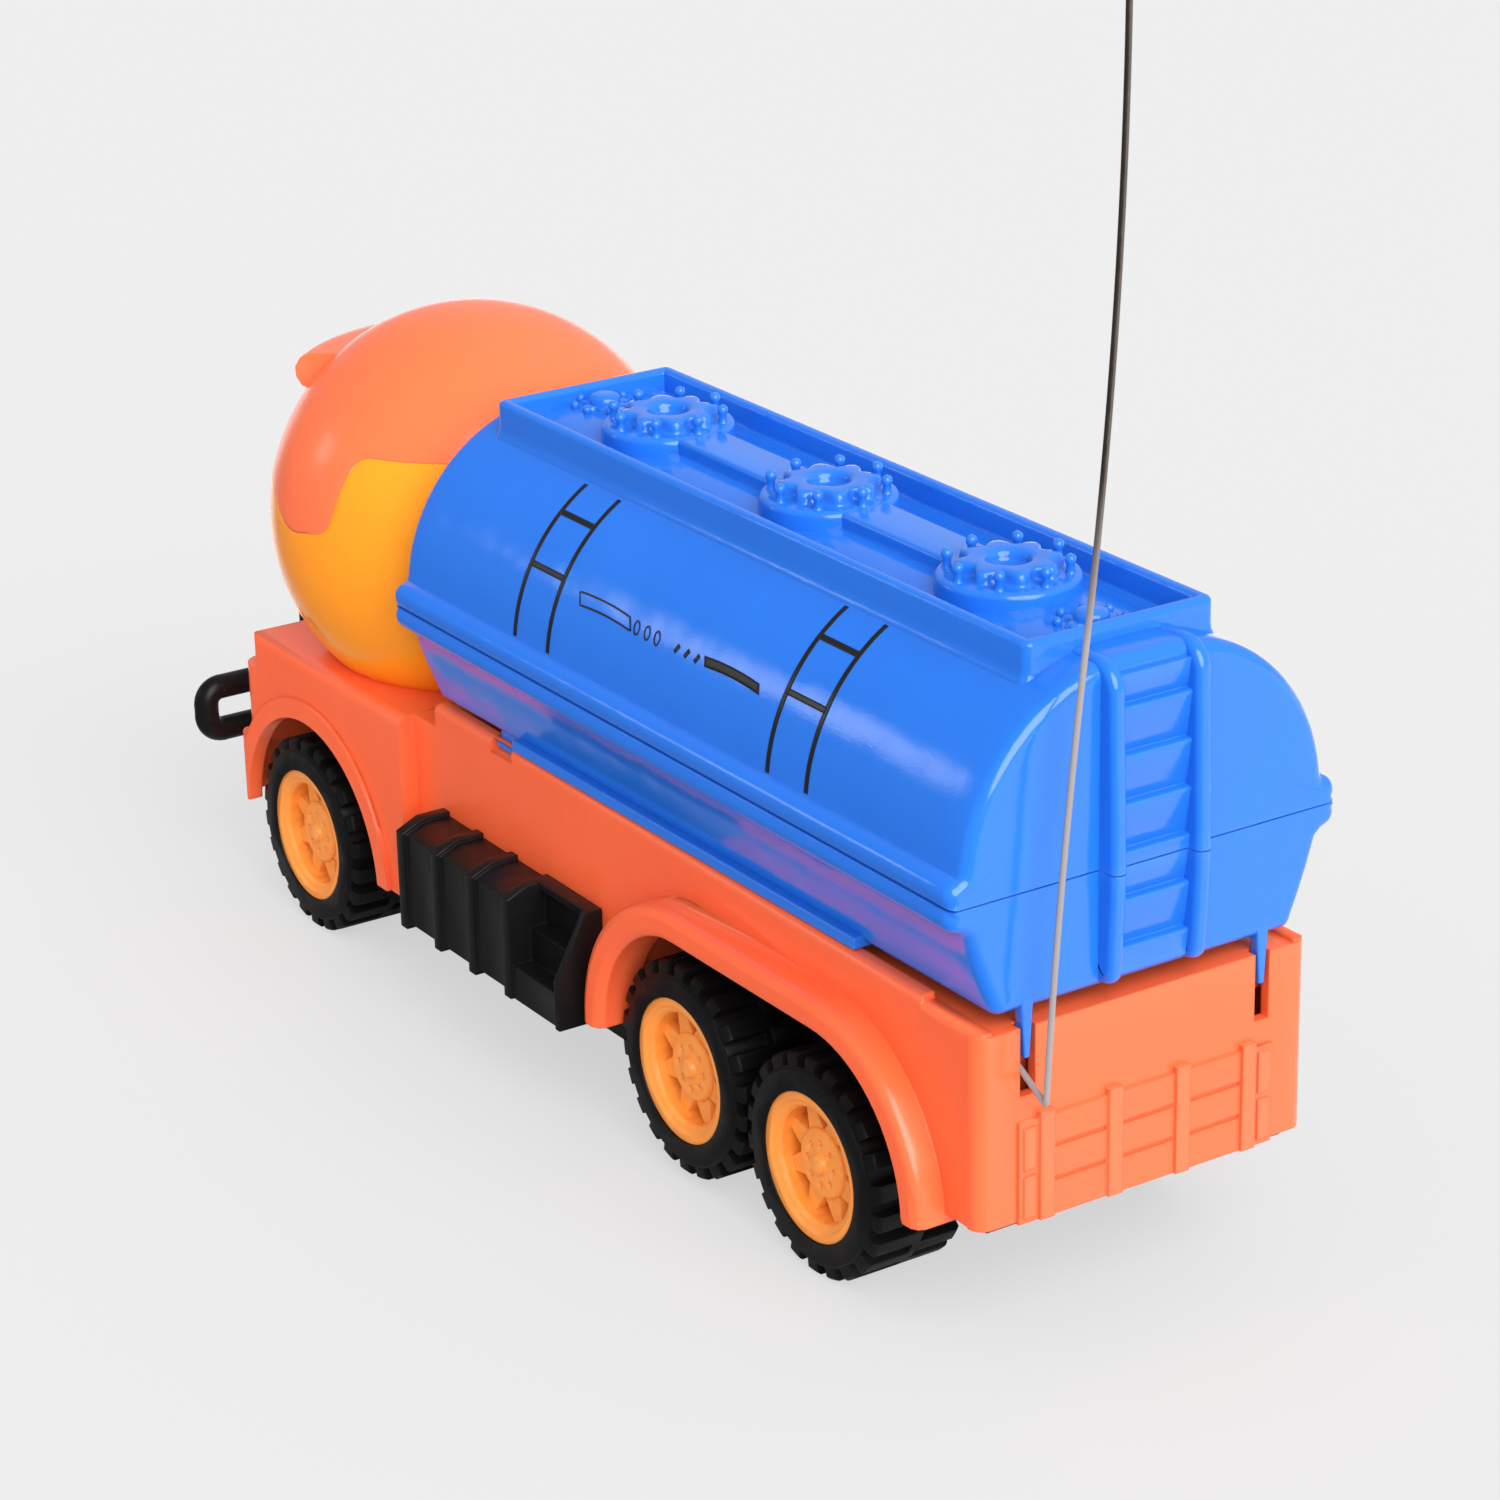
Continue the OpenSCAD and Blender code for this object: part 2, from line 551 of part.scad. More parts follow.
loop_bend = 3.3;
hoop_y = 12.5;
hoop_z = 52;
hoop_bend = 4;
hoop_r = bar_r - 0.4;
module bull_bar() placed() color(black) {
  for (s = [-1, 1], t = [-1, 1])
    bar_bend(s * (loop_y - loop_bend), loop_z + t * loop_h, s > 0 ? (t > 0 ? 0 : -90) : (t > 0 ? 90 : 180), loop_bend, bar_r);
  for (t = [-1, 1]) rod_y(bar_x, loop_z + t * (loop_h + loop_bend), bar_r, -loop_y + loop_bend, loop_y - loop_bend);
  for (s = [-1, 1]) {
    post(bar_x, s * loop_y, bar_r, loop_z - loop_h, loop_z + loop_h);
    bar_bend(s * (hoop_y - hoop_bend), hoop_z, s > 0 ? 0 : 90, hoop_bend, hoop_r);
    post(bar_x, s * hoop_y, hoop_r, loop_z + loop_h + loop_bend, hoop_z);
    rod_x(s * 15, loop_z - loop_h - loop_bend, 2.2, 256, bar_x);
  }
  rod_y(bar_x, hoop_z + hoop_bend, hoop_r, -hoop_y + hoop_bend, hoop_y - hoop_bend);
}
module locker_outline(t) polygon([[30, 20.3 + t], [locker_y - t, 20.3 + t], [locker_y - t, 40 - t / 2],
  [37.8 - t / 2, 42.1 - t], [30, 42.1 - t]]);
module side_box_left() placed() color(black) difference() {
  union() {
    along_x(134, 172) locker_outline(0.9);
    for (x = [173, 160, 147, 134]) along_x(x - 1.25, x + 1.25) locker_outline(0);
    along_x(115.5, 117.1) polygon([[30, 20.3], [locker_y, 20.3], [locker_y, 30], [36, 42.1], [30, 42.1]]);
    along_x(116, 134) polygon([[30, 20.3], [41.6, 20.3], [41.6, 27], [37.5, 27], [37.5, 33.5], [34.2, 33.5],
      [34.2, 40.7], [35.6, 40.7], [35.6, 42.1], [30, 42.1]]);
  }
  translate([0, 0, 10]) linear_extrude(50) tub_plan(0);
}
module side_box_right() mirror([0, 1, 0]) side_box_left();

// Aerial: a stub through the rear slot, a bend, then a whip of two gentle arcs.
bend_p = [24.8, 49.5];
lean = [3.4, 7.5, -1.5];
arc_r = [1060, 804];
arc_1 = bend_p - arc_r[0] * [cos(lean[0]), sin(lean[0])];
tip_1 = arc_1 + arc_r[0] * [cos(lean[1]), sin(lean[1])];
arc_2 = tip_1 + arc_r[1] * [cos(lean[1]), sin(lean[1])];
module aerial_stub(r, reach) translate([aerial_x, bend_p[0], bend_p[1]]) rotate([0, 90 - 28.5, 0])
  cylinder(r = r, h = (reach - aerial_x) / cos(28.5), $fn = 24);
whip = concat(
  [for (i = [0:2]) let (a = lean[0] + i * (lean[1] - lean[0]) / 2) arc_1 + arc_r[0] * [cos(a), sin(a)]],
  [for (i = [1:4]) let (a = lean[1] + i * (lean[2] - lean[1]) / 4) arc_2 - arc_r[1] * [cos(a), sin(a)]]);
module antenna() placed() color(steel) {
  aerial_stub(wire_r, 8.4);
  for (i = [0:5]) translate([aerial_x, whip[i][0], whip[i][1]]) {
    step = whip[i + 1] - whip[i];
    sphere(r = wire_r + bead, $fn = 24);
    rotate([-atan2(step[0], step[1]), 0, 0]) cylinder(r = wire_r, h = norm(step), $fn = 24);
  }
}

// ---------------------------------------------------------------- chassis
module base_plate() placed() color(black) difference() {
  union() {
    box([spine_x, 192], [-spine_y, spine_y], [floor_z, floor_top]);
    box([2.2, spine_x + 1], [-spine_y, spine_y], [tub_z0 - 1.6, tub_z0]);
    both() {
      box([spine_x, 110], [spine_y - 1.2, spine_y], [floor_z, 51]);
      box([13.2, spine_x + 1], [spine_y - 1.2, spine_y], [tub_z0 - 1.6, 51]);
      box([2.2, 15], [spine_y - 1, flange_y], [tub_z0 - 1.6, tub_z0]);
      box([13.2, 14.7], [spine_y - 1, flange_y], [tub_z0 - 1, 51]);
      box([13.2, 107.6], [spine_y - 1, flange_y], [49.5, 51]);
      box([110, 192], [bay_y, tray_half], [floor_z, tub_z0]);
      box([110.3, 184], [bay_y, flange_y], [tub_z0 - 1.6, tub_z0]);
      box([bay_x[0] - 1.5, bay_x[1] + 1.5], [bay_y - 1, tray_half], [floor_z, bay_roof + 1.4]);
      box([bay_x[0], bay_x[1]], [door_half - 1, bay_y + 1], [floor_top, floor_top + 1]);
      for (x = [126, 166]) post(x, 16, 2, bay_roof, 36);
    }
    box([110, 192], [-tray_half, tray_half], [floor_z, floor_top]);
    box([bay_x[0] - 1.5, bay_x[1] + 1.5], [-bay_y, bay_y], [bay_roof, bay_roof + 1.4]);
    for (x = [bay_x[0] - 1.5, bay_x[1]]) box([x, x + 1.5], [-bay_y, bay_y], [floor_z, bay_roof + 1]);
    box([spine_x, spine_x + 1.5], [-spine_y, spine_y], [floor_z, tub_z0]);
    box([108.5, 110], [-spine_y, spine_y], [floor_z, 30]);
    box([190, 243], [-8.5, 8.5], [floor_z, floor_top]);
    box([207, 220], [-9.5, 9.5], [floor_z, floor_top]);
    box([222.8, 228], [-king_y, king_y], [floor_z, floor_top]);
    for (s = [-1, 1]) post(front_x, s * king_y, 2.6, floor_z, floor_top);
    box([241.2, 243], [-8.5, 8.5], [floor_z, nose_floor + 1.6]);
    box([237.5, 253.5], [-9.6, 9.6], [nose_floor, nose_floor + 1.6]);
    post(114.5, 0, 2.6, floor_top, 24);
  }
  box([bay_x[0], bay_x[1]], [-door_half + 1, door_half - 1], [floor_z - 1, bay_roof]);
  box([bay_x[0] - lap, bay_x[1] + lap], [-door_half - lap, door_half + lap], [floor_z - 1, floor_top]);
  box([112 - lap, 119], [-4 - lap, 4 + lap], [floor_z - 1, floor_top]);
  post(114.5, 0, 0.9, floor_z, 21);
  box([36, 56], [0.8, spine_y - 1.2], [floor_z - 1, floor_top + 1]);
  box([knob_x - 1.6, knob_x + 1.6], [-3.6, 3.6], [floor_z - 1, floor_top + 1]);
  rod_y(rear_x, axle_z, axle_r + run, -20, 20);
  rod_y(mid_axle_x, mid_axle_z, axle_r + run, -20, 20);
  for (s = [-1, 1]) {
    post(front_x, s * king_y, 1.2 + run, floor_z - 1, floor_top + 1);
    post(front_x, s * post_y, 0.9, floor_z - 1, floor_top + 1);
    post(front_x, s * post_y, 1.95, floor_z - 1, floor_z + 0.9);
  }
  for (p = rear_screws) screw_seat(p[0], p[1], tub_z0 - 1.6);
  for (p = mid_screws) screw_seat(p[0], p[1], floor_z);
  for (p = nose_screws) screw_seat(p[0] - 3.5, p[1], nose_floor);
}
module screw_seat(x, y, z) {
  post(x, y, 0.9, z - 1, z + 4);
  post(x, y, 1.95, z - 1, z + 0.9);
}
module screw(x, y, z, h) {
  post(x, y, 0.86, z + 0.5, z + h);
  difference() {
    post(x, y, 1.9, z, z + 0.9);
    for (a = [0, 90]) translate([x, y, z]) rotate([0, 0, a]) cube([2.2, 0.4, 0.8], center = true);
  }
}
module base_screws() placed() color(steel) {
  for (p = rear_screws) screw(p[0], p[1], tub_z0 - 1.6, 9);
  for (p = mid_screws) screw(p[0], p[1], floor_z, 9);
  for (p = nose_screws) screw(p[0] - 3.5, p[1], nose_floor, 9);
}
module bridge_screws() placed() color(steel) for (s = [-1, 1]) screw(front_x, s * post_y, floor_z, 8);

// ---------------------------------------------------------------- steering
module king_parts() {
  post(front_x, king_y, 2.3, floor_top + 0.2, rod_z[1]);
  post(front_x, king_y, 1.2, floor_z + 0.2, bridge_z[1] - 0.2);
}
module knuckle_left() placed() color(black) {
  king_parts();
  box([rod_x, front_x], [king_y - 1.8, king_y + 1.8], [22.7, 24.4]);
  post(rod_x, king_y, 1.8, 22.7, 24.4);
  post(rod_x, king_y, 0.9, 24, rod_z[1] - 0.2);
  rod_y(front_x, axle_z, axle_r, king_y, 30.8);
  rod_y(front_x, axle_z, axle_r + 0.35, 29.1, 30.8);
}
module knuckle_right() mirror([0, 1, 0]) knuckle_left();
module tie_rod() placed() color(white) difference() {
  union() {
    box([rod_x - 2, rod_x + 2], [-13.6, 13.6], rod_z);
    box([rod_x - 2, rod_x + 2], [-1.5, 1.5], [magnet_z[1], rod_z[1]]);
  }
  for (s = [-1, 1]) box([rod_x - 1.4, rod_x + 1.4], [s * king_y - 0.95, s * king_y + 0.95], [24, 27]);
}
module steering_magnet() placed() color(steel) box([rod_x - 3, rod_x + 3], [-1.5, 1.5], magnet_z);
module steering_coils() placed() color([0.7, 0.35, 0.15]) both() {
  rod_y(rod_x, 18.35, 3.9, coil_y[0], coil_y[1]);
  for (y = [coil_y[0], coil_y[1] - 0.6]) box([rod_x - 4.05, rod_x + 4.05], [y, y + 0.6], [floor_top, 22.4]);
}
module steering_bridge() placed() color(black) difference() {
  union() {
    box([front_x - 3.4, front_x + 3.4], [-king_y, king_y], bridge_z);
    for (s = [-1, 1]) {
      post(front_x, s * king_y, 3.4, bridge_z[0], bridge_z[1]);
      post(front_x, s * post_y, 2.4, floor_top, bridge_z[1]);
    }
  }
  for (s = [-1, 1]) {
    post(front_x, s * king_y, 1.2 + run, bridge_z[0] - 1, bridge_z[1] + 1);
    post(front_x, s * post_y, 0.9, floor_top - 1, floor_top + 7);
  }
}

// ---------------------------------------------------------------- drive
// Straight-flank teeth; a whole number of teeth puts a tooth on +X before the turn is applied.
module gear_2d(n) {
  r = n * tooth_m / 2;
  polygon([for (i = [0:n - 1], k = [[-0.6, -0.31], [0, -0.235], [0.42, -0.13], [0.42, 0.13], [0, 0.235], [-0.6, 0.31]])
    (r + k[0]) * [cos((i + k[1]) * 360 / n), sin((i + k[1]) * 360 / n)]]);
}
// gear with its axis on Y; turn counts from +X towards +Z
module gear(n, x, z, turn, y0, y1) translate([x, y1, z]) rotate([90, 0, 0]) rotate(turn)
  linear_extrude(y1 - y0) gear_2d(n);
// A tooth of the driver lies on the line of centres; the other gear shows a gap there.
comp_turn = 70 + 180 + 180 / small_teeth;
pinion_turn = 40 + 180 + 180 / pinion_teeth;
module axle_gear() placed() color(white) difference() {
  union() {
    gear(axle_teeth, rear_x, axle_z, 70, 3, 7.6);
    rod_y(rear_x, axle_z, 2.2, 2.5, 8);
  }
  rod_y(rear_x, axle_z, axle_r + seat, 0, 20);
}
module compound_gear() placed() color(white) difference() {
  union() {
    gear(small_teeth, comp_x, comp_z, comp_turn, 2.5, 8.4);
    gear(big_teeth, comp_x, comp_z, 40, 8.3, 10.7);
    rod_y(comp_x, comp_z, 1.8, 10.6, 11.1);
  }
  rod_y(comp_x, comp_z, axle_r + run, 0, 20);
}
module compound_pin() placed() color(steel) rod_y(comp_x, comp_z, axle_r, case_y[0], cover_y[1]);
module motor_pinion() placed() color([0.8, 0.65, 0.3]) difference() {
  gear(pinion_teeth, motor_x, motor_z, pinion_turn, 8.1, 10.9);
  rod_y(motor_x, motor_z, 0.75 + seat, 0, 20);
}
module drive_motor() placed() color(steel) {
  rod_y(motor_x, motor_z, motor_r, -11.5, 3.5);
  rod_y(motor_x, motor_z, 2.2, 3.4, 4.4);
}
module case_outline(t) {
  translate([36.4 + t, 14.3]) square([29.6 - 2 * t, 30 - t]);
  translate([38.3 + t, 10.9 + t]) square([15 - 2 * t, 12]);
}
module gearbox_case() placed() color(black) difference() {
  union() {
    along_y(case_y[0], case_y[1]) case_outline(0);
    along_y(case_y[1] - 0.1, cover_y[0]) difference() { case_outline(0); case_outline(1.2); }
  }
  rod_y(rear_x, axle_z, axle_r + run, 0, 20);
  rod_y(comp_x, comp_z, axle_r + seat, 0, 20);
  rod_y(motor_x, motor_z, motor_r + lap, 0, 5);
}
module gearbox_cover() placed() color(black) difference() {
  along_y(cover_y[0], cover_y[1]) case_outline(0);
  rod_y(rear_x, axle_z, axle_r + run, 0, 20);
  rod_y(comp_x, comp_z, axle_r + seat, 0, 20);
}

// ---------------------------------------------------------------- power
module battery_door() placed() color(black) difference() {
  union() {
    box([bay_x[0], bay_x[1]], [-door_half, door_half], [floor_z, floor_top]);
    box([112, 119], [-4, 4], [floor_z, floor_top]);
  }
  screw_seat(114.5, 0, floor_z);
}
module door_screw() placed() color(steel) screw(114.5, 0, floor_z, 8);
cell_z = 22.8;
module battery_cells() placed() color([0.3, 0.55, 0.3]) for (y = [-15, 0, 15]) {
  rod_x(y, cell_z, 7, 124, 174);
  rod_x(y, cell_z, 2.6, 173.9, 175.4);
}
module battery_contacts() placed() color(steel) {
  for (y = [-15, 0, 15]) {
    box([bay_x[0], 118.6], [y - 5, y + 5], [17, 29]);
    rod_x(y, cell_z, 3, 118.5, 124);
    box([175.4, bay_x[1]], [y - 5, y + 5], [17, 29]);
  }
}
module receiver_board() placed() color([0.15, 0.45, 0.25]) {
  box([122, 170], [-19, 19], [36, 37.6]);
  box([130, 140], [-5, 5], [37.5, 39.2]);
  box([148, 160], [-9, 3], [37.5, 42]);
  for (y = [8, 13]) post(134, y, 1.8, 37.5, 44);
}
module switch_body() placed() color(black) difference() {
  box([180.5, 189.5], [-6, 6], [floor_top, 21]);
  box([knob_x - 1.6, knob_x + 1.6], [-3.6, 3.6], [floor_top - 1, 18]);
}
module switch_knob() placed() color(white) box([knob_x - 1.5, knob_x + 1.5], [-3.5, 0], [11.4, 17.8]);

body_shell();
tank_upper();
tank_lower();
cab_shell();
cab_cap();
windscreen();
headlight_lens_left();
headlight_lens_right();
headlight_leds();
bull_bar();
side_box_left();
side_box_right();
antenna();
base_plate();
rear_axle();
middle_axle();
rear_rim_left();
rear_rim_right();
middle_rim_left();
middle_rim_right();
front_rim_left();
front_rim_right();
rear_tyre_left();
rear_tyre_right();
middle_tyre_left();
middle_tyre_right();
front_tyre_left();
front_tyre_right();
axle_gear();
compound_gear();
compound_pin();
motor_pinion();
drive_motor();
gearbox_case();
gearbox_cover();
knuckle_left();
knuckle_right();
tie_rod();
steering_magnet();
steering_coils();
steering_bridge();
bridge_screws();
base_screws();
battery_door();
door_screw();
battery_cells();
battery_contacts();
receiver_board();
switch_body();
switch_knob();
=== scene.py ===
import json
import math

import bmesh
import bpy
import numpy as np
from mathutils import Matrix, Vector
from mathutils.bvhtree import BVHTree


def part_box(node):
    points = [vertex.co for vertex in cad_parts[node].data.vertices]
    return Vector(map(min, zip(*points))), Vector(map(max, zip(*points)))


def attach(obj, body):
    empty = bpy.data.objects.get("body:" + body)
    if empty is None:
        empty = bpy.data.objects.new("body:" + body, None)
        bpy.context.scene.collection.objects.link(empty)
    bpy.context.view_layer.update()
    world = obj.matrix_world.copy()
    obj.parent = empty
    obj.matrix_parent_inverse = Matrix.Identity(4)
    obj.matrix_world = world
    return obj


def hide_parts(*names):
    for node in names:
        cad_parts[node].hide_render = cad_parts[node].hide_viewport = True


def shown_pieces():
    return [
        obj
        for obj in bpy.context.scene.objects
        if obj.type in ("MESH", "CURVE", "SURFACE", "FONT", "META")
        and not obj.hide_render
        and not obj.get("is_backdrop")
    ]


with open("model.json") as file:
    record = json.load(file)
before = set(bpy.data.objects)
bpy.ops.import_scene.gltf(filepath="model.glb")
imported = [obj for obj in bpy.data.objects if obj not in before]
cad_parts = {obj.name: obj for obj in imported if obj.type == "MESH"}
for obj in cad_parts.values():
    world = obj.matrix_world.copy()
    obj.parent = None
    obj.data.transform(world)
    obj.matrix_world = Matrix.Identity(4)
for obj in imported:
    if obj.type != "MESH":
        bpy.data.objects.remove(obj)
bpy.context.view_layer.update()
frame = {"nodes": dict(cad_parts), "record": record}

scene = bpy.context.scene

# ------------------------------------------------------------------ camera
# The photograph is taken from behind, left and above through a long lens. The named points are
# places in its 1500 x 1500 frame, and the camera was aimed until the lorry's own corners, hubs
# and hatches agreed with them. It needs no shift.
PHOTO_W = PHOTO_H = 1500
IMAGE_POINTS = {
    "left_edge": (195.0, None), "right_edge": (1335.0, None),
    "bottom_edge": (None, 1278.5), "cab_top": (None, 298.0),
    "tray_front_left": (496.3, 400.6), "tray_front_right": (666.9, 363.9),
    "tray_rear_left": (1027.3, 643.9), "tray_rear_right": (1214.8, 594.8),
    "front_hatch": (667.8, 407.8), "middle_hatch": (829.4, 476.0), "rear_hatch": (1008.7, 555.2),
    "seam_corner": (950.9, 917.0), "tail_low_right": (1295.2, 1126.6),
    "rear_hub": (819.9, 1163.0), "middle_hub": (686.2, 1069.2), "front_hub": (317.9, 832.6),
    "aerial_bend": (1046.0, 1105.0),
    "front_ladder": (550.6, 564.8), "rear_ladder": (809.6, 694.6), "mark_row": (666.7, 643.2),
}
CAMERA_AT = Vector((-0.617279, 0.390210, 0.348659))
CAMERA_AIM = Vector((0.0, -0.009242, 0.058285))
CAMERA_ROLL = -0.0225546
SENSOR_MM = 36.0
LENS_MM = 102.28
SHIFT_X = SHIFT_Y = 0.0
ahead = (CAMERA_AIM - CAMERA_AT).normalized()
side = ahead.cross(Vector((0, 0, 1))).normalized()
upward = side.cross(ahead)
right = math.cos(CAMERA_ROLL) * side + math.sin(CAMERA_ROLL) * upward
above = -math.sin(CAMERA_ROLL) * side + math.cos(CAMERA_ROLL) * upward
camera = bpy.data.objects.new("camera", bpy.data.cameras.new("camera"))
scene.collection.objects.link(camera)
camera.matrix_world = Matrix((right, above, -ahead)).transposed().to_4x4()
camera.matrix_world.translation = CAMERA_AT
camera.data.lens = LENS_MM
camera.data.sensor_width = SENSOR_MM
camera.data.sensor_fit = "AUTO"
camera.data.shift_x, camera.data.shift_y = SHIFT_X, SHIFT_Y
camera.data.clip_start = 0.05
scene.camera = camera

# ------------------------------------------------------------------ chassis and wheels
# The moulded black base plate, the six lugged rubber tyres and their amber rims are softened
# copies of the CAD. The steering and drive inside stay as the CAD has them, in better materials.
MM = 0.001                   # a millimetre, in metres


def srgb(r, g, b):
    """A colour picked as 0-255 numbers, as the linear colour that shaders take."""
    c = np.array([r, g, b]) / 255
    c = np.where(c <= 0.04045, c / 12.92, ((c + 0.055) / 1.055) ** 2.4)
    return (*c, 1.0)


def new_group(name, inputs, outputs):
    """An empty shader node group with the given sockets: (name, kind, value) each."""
    group = bpy.data.node_groups.new(name, "ShaderNodeTree")
    for label, kind, value in inputs:
        group.interface.new_socket(label, in_out="INPUT", socket_type=kind).default_value = value
    for label, kind in outputs:
        group.interface.new_socket(label, in_out="OUTPUT", socket_type=kind)
    return group, group.nodes.new("NodeGroupInput"), group.nodes.new("NodeGroupOutput")


def ramp(nodes, start, end, at_start, at_end):
    """A node whose result runs from at_start to at_end while its value runs from start to end."""
    node = nodes.new("ShaderNodeMapRange")
    node.inputs["From Min"].default_value, node.inputs["From Max"].default_value = start, end
    node.inputs["To Min"].default_value, node.inputs["To Max"].default_value = at_start, at_end
    return node


def mould_skin_group():
    """Colour, roughness and bump of a moulding: broad waves and fine grain of the tool in the height, dull
    patches in the roughness, and a painted highlight that turns convex edges a little paler, toward a lit
    copy of the colour."""
    group, given, made = new_group("mould_skin", [
        ("Colour", "NodeSocketColor", (0.8, 0.8, 0.8, 1)), ("Painted highlight", "NodeSocketColor", (1, 1, 1, 1)),
        ("Gloss", "NodeSocketFloat", 0.25), ("Wave", "NodeSocketFloat", 90.0),
        ("Grain", "NodeSocketFloat", 2600.0)],
        [("Colour", "NodeSocketColor"), ("Roughness", "NodeSocketFloat"), ("Height", "NodeSocketFloat")])
    n, link = group.nodes, group.links.new
    at = n.new("ShaderNodeTexCoord")
    wave, grain, patch = (n.new("ShaderNodeTexNoise") for _ in range(3))
    for noise, scale in ((wave, "Wave"), (grain, "Grain")):
        link(at.outputs["Object"], noise.inputs["Vector"])
        link(given.outputs[scale], noise.inputs["Scale"])
    link(at.outputs["Object"], patch.inputs["Vector"])
    patch.inputs["Scale"].default_value = 38.0
    patch.inputs["Detail"].default_value = 4.0
    dull = ramp(n, 0.35, 0.75, -0.03, 0.05)
    link(patch.outputs["Fac"], dull.inputs["Value"])
    rough = n.new("ShaderNodeMath")
    link(given.outputs["Gloss"], rough.inputs[0])
    link(dull.outputs["Result"], rough.inputs[1])
    link(rough.outputs["Value"], made.inputs["Roughness"])
    geometry = n.new("ShaderNodeNewGeometry")
    # Painted highlight: by pointiness, convex edges take up to 16% of the second colour, a paler, lit copy
    # of the moulding's colour.
    edge = ramp(n, 0.53, 0.62, 0.0, 0.16)
    link(geometry.outputs["Pointiness"], edge.inputs["Value"])
    mix = n.new("ShaderNodeMix")
    mix.data_type = "RGBA"
    link(edge.outputs["Result"], mix.inputs["Factor"])
    link(given.outputs["Colour"], mix.inputs["A"])
    link(given.outputs["Painted highlight"], mix.inputs["B"])
    tone = ramp(n, 0.0, 1.0, 0.96, 1.04)
    link(patch.outputs["Fac"], tone.inputs["Value"])
    shade = n.new("ShaderNodeHueSaturation")
    link(tone.outputs["Result"], shade.inputs["Value"])
    link(mix.outputs["Result"], shade.inputs["Color"])
    link(shade.outputs["Color"], made.inputs["Colour"])
    fine = n.new("ShaderNodeMath")
    fine.operation = "MULTIPLY_ADD"
    link(grain.outputs["Fac"], fine.inputs[0])
    fine.inputs[1].default_value = 0.06
    link(wave.outputs["Fac"], fine.inputs[2])
    link(fine.outputs["Value"], made.inputs["Height"])
    return group


MOULD_SKIN = mould_skin_group()


def plastic(name, colour, painted_highlight, gloss, wave=90.0, grain=2600.0, lift=0.00012, corner=0.3, shine=0.5):
    """A moulding's material: the mould skin group drives a Principled shader, and its corners
    are rounded in the shading by corner millimetres."""
    m = bpy.data.materials.new(name)
    m.use_nodes = True
    n, link = m.node_tree.nodes, m.node_tree.links.new
    shader = n["Principled BSDF"]
    mould = n.new("ShaderNodeGroup")
    mould.node_tree = MOULD_SKIN
    # The second colour is a painted highlight: a lit copy of the colour, painted on convex edges.
    for label, value in (("Colour", colour), ("Painted highlight", painted_highlight), ("Gloss", gloss),
                         ("Wave", wave), ("Grain", grain)):
        mould.inputs[label].default_value = value
    rounded, bump = n.new("ShaderNodeBevel"), n.new("ShaderNodeBump")
    rounded.inputs["Radius"].default_value = corner * MM
    shader.inputs["Specular IOR Level"].default_value = shine
    bump.inputs["Distance"].default_value = lift
    link(rounded.outputs["Normal"], bump.inputs["Normal"])
    link(mould.outputs["Height"], bump.inputs["Height"])
    link(mould.outputs["Colour"], shader.inputs["Base Color"])
    link(mould.outputs["Roughness"], shader.inputs["Roughness"])
    link(bump.outputs["Normal"], shader.inputs["Normal"])
    return m


# In each plastic the second colour is the painted edge highlight, a lit copy of the first.
BLACK = plastic("black_moulding", (0.006, 0.0055, 0.0055, 1), (0.02, 0.02, 0.02, 1), 0.34,
                wave=160, shine=0.22)
TYRE = plastic("tyre_rubber", (0.005, 0.0048, 0.0048, 1), (0.016, 0.016, 0.016, 1), 0.4,
               wave=240, grain=3600, shine=0.16)
AMBER = plastic("amber_moulding", (0.93, 0.30, 0.045, 1), (1.0, 0.48, 0.16, 1), 0.34, lift=0.00008)
LORRY = "lorry"              # the body that everything fixed rides on
CREASE = 28.0                # degrees: an edge sharper than this is rounded, or kept sharp


def show(name, mesh, body, slot, material, *nodes):
    """Puts a mesh into the scene as a piece that rides on a body and stands for CAD nodes."""
    piece = bpy.data.objects.new(name, mesh)
    scene.collection.objects.link(piece)
    mesh.materials.clear()
    mesh.materials.append(material)
    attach(piece, body)
    if nodes:
        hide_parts(*nodes)
    return piece


def round_edges(piece, width, segments=2):
    """Rounds every edge sharper than CREASE by width millimetres, as a mould's corners are."""
    bevel = piece.modifiers.new("edges", "BEVEL")
    bevel.width = width * MM
    bevel.segments = segments
    bevel.limit_method = "ANGLE"
    bevel.angle_limit = math.radians(CREASE)
    bevel.harden_normals = True
    bevel.use_clamp_overlap = True
    return piece


def soften(name, node, body, slot, material, edge, segments=2):
    """A copy of a CAD node with its loose triangles joined, its flat areas made whole again and
    its creases rounded by edge millimetres. With edge 0 the creases stay, and large flat faces
    set the shading beside them."""
    bm = bmesh.new()
    bm.from_mesh(frame["nodes"][node].data)
    bmesh.ops.remove_doubles(bm, verts=bm.verts, dist=4e-6)
    bmesh.ops.dissolve_limit(bm, angle_limit=math.radians(0.6), verts=bm.verts, edges=bm.edges)
    mesh = bpy.data.meshes.new(name)
    bm.to_mesh(mesh)
    bm.free()
    mesh.shade_smooth()
    piece = show(name, mesh, body, slot, material, node)
    if edge:
        return round_edges(piece, edge, segments)
    mesh.set_sharp_from_angle(angle=math.radians(CREASE))
    flat = piece.modifiers.new("flat", "WEIGHTED_NORMAL")
    flat.weight = 100
    flat.keep_sharp = True
    return piece


